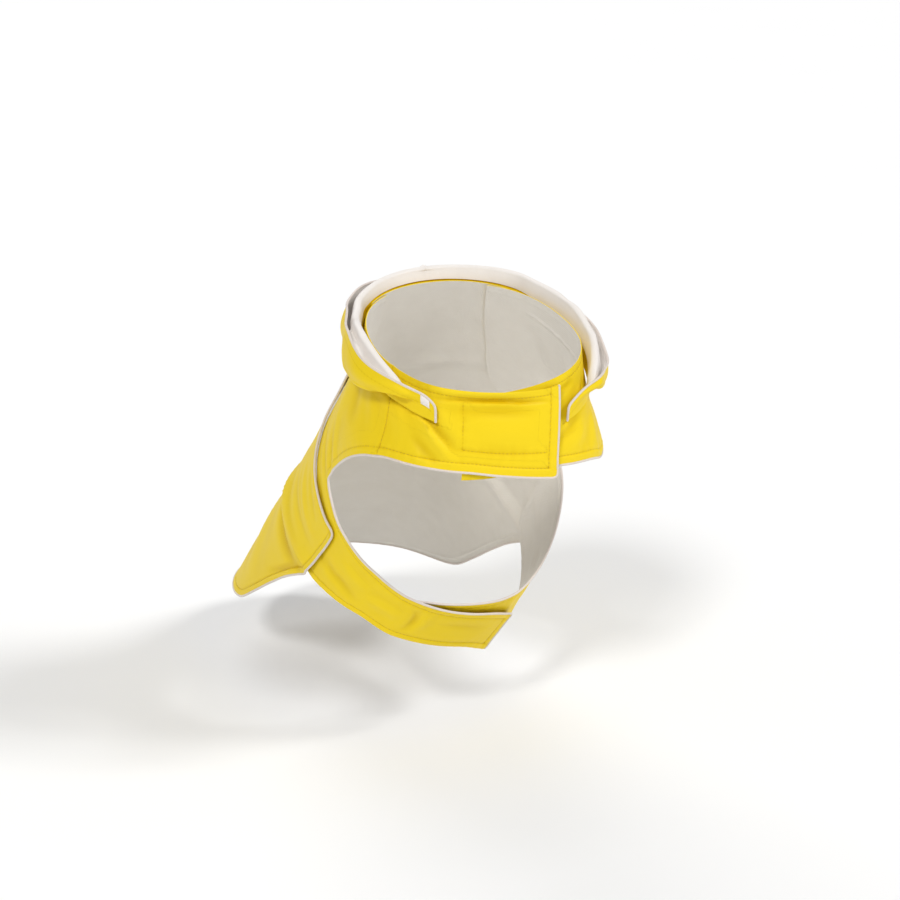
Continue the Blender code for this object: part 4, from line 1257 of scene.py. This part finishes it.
@dataclass
class Hood:
    """The dropped hood: two halves of coated cloth, their lining, its piping and the tab."""

    rows: int = 118
    columns: int = 96
    flat: tuple[float, float] = (0.16, 0.26)
    shell_area: float = 0.020
    lining_area: float = 0.0165
    seam_dip: float = 1.3
    seam_width: float = 1.6
    stitch_inset: float = 6.0
    lining_ripple: float = 0.22

    @staticmethod
    def coat_outer(angle: float) -> float:
        """Lift of the coat's outer face at the neck."""
        saddle = SADDLE_LIFT * (1 - ramp(abs(angle), *SADDLE_RAMP))
        flap = OVERLAP_LIFT * ramp(angle, *CHEST_RAMP) if angle > 0 else 0.0
        return CLOTH + float(saddle) + float(flap)

    @staticmethod
    def stops(row: Mapping[str, float]) -> Array:
        """The places of one section, numbered 0 to HOOD_PLACES, out and up from its foot.

        Where the cloth is folded, crest and roll are half circles; towards the front ends
        they open into shallow corners.
        """
        foot = np.zeros(2)
        crest, roll, bulge, edge = (np.array([row[f"{name}_out"], row[f"{name}_up"]])
                                    for name in ("crest", "roll", "bulge", "edge"))
        fold = ramp(crest[1] - roll[1], *FOLD_RAMP)
        turn = np.radians([-90, -45, 0, 45, 90])

        def turned(before: Array, place: Array, after: Array, radius: float, reach: float) -> Array:
            """Five places round one turn."""
            circle = np.stack([abs(radius) * np.sin(turn), radius * (np.cos(turn) - 1)], 1)
            t = np.linspace(0, 1, len(turn))[:, None]
            corner = reach * ((1 - t) ** 2 * (before - place) + t**2 * (after - place))
            return place + fold * circle + (1 - fold) * corner

        return np.vstack([foot, turned(foot, crest, roll, CREST_RADIUS, OPEN_CREST),
                          turned(crest, roll, bulge, -ROLL_RADIUS, OPEN_ROLL), bulge, edge])

    def sections(self, angles: Array, lines: Array) -> tuple[Array, Array, Array]:
        """Sections of the hood, halfway through the room of its cloth.

        Args:
            angles: Signed angles, right side positive.
            lines: Places along each section, from 0 at the seam to HOOD_PLACES at the edge.

        Returns:
            Points, unit normals towards the lining, and the line of the seam on the coat.
        """
        table = np.array(HOOD_ROWS, float)[::-1]
        points, normals, seam = [], [], []
        for angle in angles:
            row = {name: float(smooth(angle, table[:, 0], table[:, i + 1]))
                   for i, name in enumerate(HOOD_COLUMNS[1:])}
            lift = self.coat_outer(angle) + CLOTH / 2
            seam.append(FORM.point(row["seam"], angle, lift + GAP))
            foot = FORM.point(row["seam"], angle, lift + HOOD_SEAM_LIFT)
            out = unit(FORM.normal(row["seam"], angle) * np.array([1.0, 1.0, 0.0]))
            stops = self.stops(row)
            chord = np.concatenate([[0], np.cumsum(np.linalg.norm(np.diff(stops, axis=0), axis=1))])
            reach = np.interp(lines, np.arange(len(chord)), chord)
            flat, ahead, behind = (np.stack([smooth(reach + step, chord, stops[:, i]) for i in range(2)], 1)
                                   for step in (0.0, 0.2, -0.2))
            tangent = unit(ahead - behind)
            plane = np.stack([out, [0.0, 0.0, 1.0]])
            points.append(foot + flat @ plane)
            normals.append(np.stack([-tangent[:, 1], tangent[:, 0]], 1) @ plane)
        return np.array(points), np.array(normals), np.array(seam)

    @staticmethod
    def angles(side: int, count: int) -> Array:
        """Angles of one half, from its front end to just past the centre seam."""
        front = HOOD_ROWS[0][0] if side > 0 else HOOD_ROWS[-1][0]
        return front * (1 - np.linspace(0, 1, count) ** HOOD_CROWDING)

    def relief(self, angles: Array, lines: Array, folds: Sequence[Crease]) -> Array:
        """Relief of the folds, and the dip of the centre seam: a bell across angle 0."""
        line, angle = np.meshgrid(lines, angles)
        from_seam = angle * ARC
        swing = np.sin(line * 2.6 + 0.8 * np.sin(line)) * bump(from_seam, 0, PUCKER_REACH + 0.5)
        total = 0.25 * swing - self.seam_dip * bump(from_seam, 0, self.seam_width) * ramp(line, 0.3, 1.2)
        for fold in folds:
            total = total + fold.relief(line * PLACE_STEP, angle)
        return total * ramp(line, 0.2, 2.0)

    def half(self, side: int, word: str, folds: Sequence[Crease]) -> list[bpy.types.Object]:
        """Make one half of the shell and its lining."""
        angles = self.angles(side, self.columns)
        lines = HOOD_PLACES * np.linspace(0, 1, self.rows)
        points, normals, seam = self.sections(angles, lines)
        relief = self.relief(angles, lines, folds)
        run = np.cumsum(np.linalg.norm(np.diff(points, axis=1, prepend=points[:, :1]), axis=-1), axis=1)
        from_edge = run[:, -1:] - run
        around = np.broadcast_to(angles[:, None] * ARC, run.shape)
        flat = np.stack([run, around], -1)
        points = points - normals * relief[..., None]
        outer = points - normals * CLOTH / 2
        outer[:, 0] = seam - normals[:, 0] * CLOTH / 2
        # hollow: the relief's depth, for painted shade in troughs and a painted highlight on ridges.
        numbers = {"hollow": np.clip(-relief, *HOOD_HOLLOW_RANGE), "run": around,
                   "sew": np.clip(from_edge - self.stitch_inset, -FAR, FAR)}
        inner = outer + normals * CLOTH_THIN
        cloth = shell(f"hood_{word}_cloth", outer, inner, flat, (Finish.COATED,), numbers)
        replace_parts(cloth, f"hood_{word}")

        closing = ramp(from_edge, 0, 7)
        front = ramp(np.linalg.norm(points - points[:1], axis=-1), 0, 6)
        gap = (CLOTH / 2 + LINING_GAP) * np.minimum(closing, np.maximum(front, 0.15)) + 0.05
        ripple = (self.lining_ripple * np.sin(0.9 * around + 2.0 * np.sin(lines / 2.3))
                  * bump(from_edge, 6, 8) * closing)
        face = self.bridged(points + normals * (gap + LINING_THIN + ripple)[..., None], angles)
        facing = unit(np.cross(np.gradient(face, axis=0), np.gradient(face, axis=1)))
        back = face - facing * np.sign(np.sum(facing * normals)) * LINING_THIN
        # The lining's hollow, for its painted shade, follows its folds and its ripples.
        numbers["hollow"] = np.clip(relief - 2 * ripple, *HOOD_HOLLOW_RANGE)
        first = int(np.searchsorted(lines, LINING_START))
        face, back, flat = (grid[:, first:] for grid in (face, back, flat))
        part = {key: grid[:, first:] for key, grid in numbers.items()}
        lining = shell(f"hood_lining_{word}_cloth", face, back, flat, (Finish.LINING,), part)
        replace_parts(lining, f"hood_lining_{word}")
        return [cloth, lining]

    @staticmethod
    def bridged(face: Array, angles: Array, sag: float = 0.12) -> Array:
        """The lining drawn across the valley between the fold's crest and the free edge.

        In each section the run that lies more than the drop below both is replaced by
        A + t (B - A) - 4 t (1 - t) sag |B - A| z, from its first place A to its last place B.
        Behind the wearer's neck it follows the cloth into the pouch.
        """
        made = face.copy()
        for section, drop in zip(made, SIDE_DROP + NECK_DROP * (1 - ramp(np.abs(angles), *NECK_RAMP))):
            crest = int(np.argmax(section[:len(section) // 2, 2]))
            level = min(section[crest, 2], section[-1, 2]) - drop
            low = np.flatnonzero(section[crest:, 2] < level) + crest
            if len(low) > 2 and low[-1] + 1 < len(section):
                first, last = low[0] - 1, low[-1] + 1
                t = np.linspace(0, 1, last - first + 1)[:, None]
                span = section[last] - section[first]
                down = np.array([0.0, 0.0, 4 * sag * np.linalg.norm(span)])
                section[first:last + 1] = section[first] + t * span - t * (1 - t) * down
        return made

    def edge_path(self) -> Array:
        """Path of the piping: up the right front end, along the free edge, down the left."""
        lines = np.linspace(0, HOOD_PLACES, 60)
        sides = []
        for side, folds in ((1, HOOD_RIGHT_FOLDS), (-1, HOOD_LEFT_FOLDS)):
            angles = self.angles(side, 80)
            points, normals, _ = self.sections(angles, lines)
            points = points - normals * (self.relief(angles, lines, folds) + EDGE_OFFSET)[..., None]
            sides.append((points, normals))
        (right, right_normals), (left, left_normals) = sides
        points = np.concatenate([right[:-1], left[::-1]])
        normals = np.concatenate([right_normals[:-1], left_normals[::-1]])
        rise = beside(points[0], points[1], normals[0], CORD_OFFSET)
        brim = beside(points[:, -1], points[:, -2], normals[:, -1], CORD_OFFSET)
        fall = beside(points[-1], points[-2], normals[-1], CORD_OFFSET)[::-1]
        return np.vstack([rise[:-1], brim, fall[1:]])

    def tab(self) -> bpy.types.Object:
        """The small folded tab on the stand near the right front end."""
        rows, columns = 14, 24
        points, normals, _ = self.sections(np.linspace(*TAB[0], rows), np.linspace(*TAB[1], columns))
        u, v = np.meshgrid(np.linspace(-1, 1, columns), np.linspace(-1, 1, rows))
        crown = TAB_CROWN * (1 - u**6) * (1 - v**6) ** 0.5
        base = points - normals * (CLOTH / 2 + GAP / 2)
        top = base - normals * (TAB_THIN + crown)[..., None]
        flat = np.stack([u * 4, v * 3], -1)
        numbers = {"hollow": 0 * u, "sew": FAR + 0 * u, "run": 0 * u}
        made = shell("hood_tab_cloth", top, base, flat, (Finish.LINING,), numbers)
        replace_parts(made, "hood_tab")
        return made


def tape(name: str, area: tuple[Place, Place, float], lift: float) -> bpy.types.Object:
    """One closure tape between overlapping ends, with slightly rounded edges.

    Args:
        name: The record's node.
        area: First and last angle, first and last station, and slant in stations by degree.
        lift: Height of the tape's lower face.

    Returns:
        The object.
    """
    (low, high), stations, slant = area
    rows, columns = 24, 36
    angle = np.linspace(low, high, columns)[None, :]
    station = np.linspace(*stations, rows)[:, None] + slant * (angle - low)
    angle = angle + 0 * station
    edge = np.minimum.outer(np.sin(np.linspace(0, np.pi, rows)), np.sin(np.linspace(0, np.pi, columns)))
    crown = PAD_EDGE * (1 - ramp(edge, 0, 0.2))
    outer, inner = FORM.point(station, angle, lift + PAD - crown), FORM.point(station, angle, lift + crown)
    flat = np.stack([station, angle * ARC], -1)
    made = shell(f"{name}_strip", outer, inner, flat, (Finish.TAPE,), {"hollow": 0 * angle})
    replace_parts(made, name)
    middle = (outer + inner) / 2 * MM
    return made


# ---- the whole coat --------------------------------------------------------------------------
# Rows of stitches that hold the closure tape, and the hood's seam over the side panel and the flap.
CLOSURE_BOX = (((-4, 156), (26, 156)), ((26, 156), (29.5, 176), (32.5, 193.5)))
HOOD_SEAM_RIGHT = (((1, 60), (3, 90), (5, 112), (6, 120)), ((5, 112), (6, 126), (9, 140), (10.5, 145)))
HOOD_SEAM_LEFT = (((1, 60), (4, 90), (8, 112), (10, 120)), ((8, 112), (12, 128), (14.5, 139), (17.5, 153)))


@dataclass
class Coat:
    """The raincoat: panels, hood, tapes, piping and sewing."""

    back: BackPanel = field(default_factory=lambda: BackPanel(
        "back_panel", 176, 150, (0.32, 0.35), 0.089,
        ("side_panel_right_cloth", "side_panel_left_cloth"), creases=BACK_CREASES))
    side_right: SidePanel = field(default_factory=lambda: SidePanel(
        "side_panel_right", 230, 40, (0.13, 0.35), 0.0232, (), creases=SIDE_RIGHT_CREASES, table=SIDE_RIGHT))
    side_left: SidePanel = field(default_factory=lambda: SidePanel(
        "side_panel_left", 230, 40, (0.13, 0.35), 0.0247, (), True, SIDE_LEFT_CREASES, table=SIDE_LEFT))
    chest_right: ChestFlap = field(default_factory=lambda: ChestFlap(
        "chest_flap_right", 60, 92, (0.13, 0.07), 0.0068, ("chest_flap_left_cloth",), False,
        CHEST_RIGHT_CREASES, hem=HEM_RIGHT, front_edge=FRONT_EDGE_RIGHT, table=SIDE_RIGHT))
    chest_left: ChestFlap = field(default_factory=lambda: ChestFlap(
        "chest_flap_left", 60, 92, (0.13, 0.08), 0.0075, (), True, CHEST_LEFT_CREASES,
        hem=HEM_LEFT, front_edge=FRONT_EDGE_LEFT, table=SIDE_LEFT))
    hood: Hood = field(default_factory=Hood)

    def sew(self) -> None:
        """Lay out every sewn line, in mm from its border."""
        sides = (Border.REAR, Border.FRONT)
        looks = {"furrow": 0.45, "hem": 0.35}
        self.back.sew(Border.HEM, 4.2, sides, **looks)
        for border in sides:
            self.back.sew(border, 3.6, (Border.HEM,), first=0.08, pucker=0.1, **looks)
        for panel in (self.side_right, self.side_left):
            start = panel.armhole_start
            panel.sew(Border.FRONT, 5.0, (Border.HEM,), first=start, **looks)
            panel.sew(Border.HEM, 5.4, (Border.FRONT, Border.REAR), **looks)
            panel.sew(Border.REAR, 4.8, (Border.HEM,), first=0.56, **looks)
            panel.sew(Border.FRONT, 1.1, last=start, furrow=0.5, pucker=0.1)
            panel.sew(Border.NECK, 4.5)
        for flap in (self.chest_right, self.chest_left):
            flap.sew(Border.HEM, 5.0, (Border.FRONT,), **looks)
            flap.sew(Border.FRONT, 5.6, (Border.HEM,), **looks)
            flap.sew(Border.NECK, 4.5, (Border.FRONT,))
        for line in CLOSURE_BOX:
            self.chest_right.sewing.append(Sewing(*straight(*line), furrow=0.6, width=1.3))
        # The hood's seam on the coat is a furrow without thread; the coated cloth's shader paints shade
        # along it, as along every sewn furrow.
        for panel, line in ((self.side_right, HOOD_SEAM_RIGHT[0]), (self.chest_right, HOOD_SEAM_RIGHT[1]),
                            (self.side_left, HOOD_SEAM_LEFT[0]), (self.chest_left, HOOD_SEAM_LEFT[1])):
            station, angle = straight(*line)
            panel.sewing.append(Sewing(station + 1.3, angle, 1.0, 0.0, thread=False, width=1.0))

    def cords(self) -> None:
        """Make the piping, each cord from the borders it is sewn to."""
        back, flap, side = self.back, self.chest_right, self.side_right
        start = 0.09
        made = {"back_piping": np.vstack([
                    back.cord_run(Border.FRONT, start), back.cord_run(Border.HEM)[::-1],
                    back.cord_run(Border.REAR, start)[::-1]]),
                "edge_piping_right": np.vstack([
                    flap.cord_run(Border.FRONT), flap.cord_run(Border.HEM)[::-1],
                    side.cord_run(Border.FRONT, side.armhole_start), side.cord_run(Border.HEM)[::-1]]),
                "hood_piping": self.hood.edge_path()}
        flap, side = self.chest_left, self.side_left
        made["edge_piping_left"] = np.vstack([
            flap.cord_run(Border.HEM, 0.0, 0.70)[::-1],
            side.cord_run(Border.FRONT, side.armhole_start), side.cord_run(Border.HEM)[::-1]])
        for name, path in made.items():
            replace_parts(cord(f"{name}_cord", path), name)

    def build(self) -> None:
        self.sew()
        self.cords()
        panels = (self.back, self.side_right, self.side_left, self.chest_right, self.chest_left)
        for panel in panels:
            made = panel.build()
            panel.declare(made, [stitches(f"{panel.name}_stitches", panel.thread_runs())])
        for side, word, folds in ((1, "right", HOOD_RIGHT_FOLDS), (-1, "left", HOOD_LEFT_FOLDS)):
            self.hood.half(side, word, folds)
        self.hood.tab()
        for name, area, under in (("chest", CHEST_PAD, self.chest_left),
                                  ("belly", BELLY_PAD, self.side_left)):
            for kind, lift in (("loop", CLOTH + GAP), ("hook", CLOTH + PAD + 2 * GAP)):
                tape(f"{name}_{kind}_tape", area, lift)


# ---- studio --------------------------------------------------------------------------------
# Lights: name, strength, spread in degrees and direction.
SUNS = (("key", 1.25, 10, (0.52, 0.58, -0.63)), ("fill", 1.30, 14, (-0.62, 0.52, -0.75)),
        ("rim", 0.80, 40, (-0.05, -0.75, -0.65)))


@dataclass(frozen=True)
class Studio:
    """Floor, soft lights and the camera."""

    floor_level: float = -0.312
    camera_place: tuple[float, float, float] = (-0.6555, -1.5047, 0.3913)
    azimuth: float = -24.0
    elevation: float = 17.0
    focal_length: float = 98.55
    sensor_width: float = 36.0
    world: float = 0.40

    def build(self) -> None:
        """Make the studio."""
        self.floor()
        self.lights()
        self.camera()
        bpy.context.scene.view_settings.view_transform = "Standard"

    def floor(self) -> None:
        """A wide plane at the height where the wearer sits."""
        reach = 6.0
        data = bpy.data.meshes.new("floor")
        corners = [(-reach, -reach), (reach, -reach), (reach, reach), (-reach, reach)]
        data.from_pydata([(x, y, self.floor_level) for x, y in corners], [], [(0, 1, 2, 3)])
        data.materials.append(Finish.FLOOR.material())
        made = bpy.data.objects.new("floor", data)
        bpy.context.scene.collection.objects.link(made)

    def lights(self) -> None:
        """White surroundings, a key from the wearer's right, a fill from their left and a rim light."""
        world = bpy.data.worlds.new("studio")
        world.use_nodes = True
        world.node_tree.nodes["Background"].inputs["Color"].default_value = (1, 1, 1, 1)
        world.node_tree.nodes["Background"].inputs["Strength"].default_value = self.world
        bpy.context.scene.world = world
        for name, power, spread, aim in SUNS:
            data = bpy.data.lights.new(name, "SUN")
            data.energy, data.angle = power, math.radians(spread)
            made = bpy.data.objects.new(name, data)
            flat = math.hypot(aim[0], aim[1])
            made.rotation_euler = (math.atan2(flat, -aim[2]), 0.0, math.atan2(-aim[0], aim[1]))
            bpy.context.scene.collection.objects.link(made)

    def camera(self) -> None:
        """A long lens a little above the wearer, without depth of field."""
        data = bpy.data.cameras.new("camera")
        data.lens, data.sensor_width = self.focal_length, self.sensor_width
        made = bpy.data.objects.new("camera", data)
        made.location = self.camera_place
        made.rotation_euler = (math.radians(90 - self.elevation), 0.0, math.radians(self.azimuth))
        bpy.context.scene.collection.objects.link(made)
        bpy.context.scene.camera = made


def main() -> None:
    """Build the coat and the studio."""
    logging.basicConfig(level=logging.INFO, format="%(name)s %(message)s")
    Coat().build()
    Studio().build()


if __name__ == "__main__":
    main()
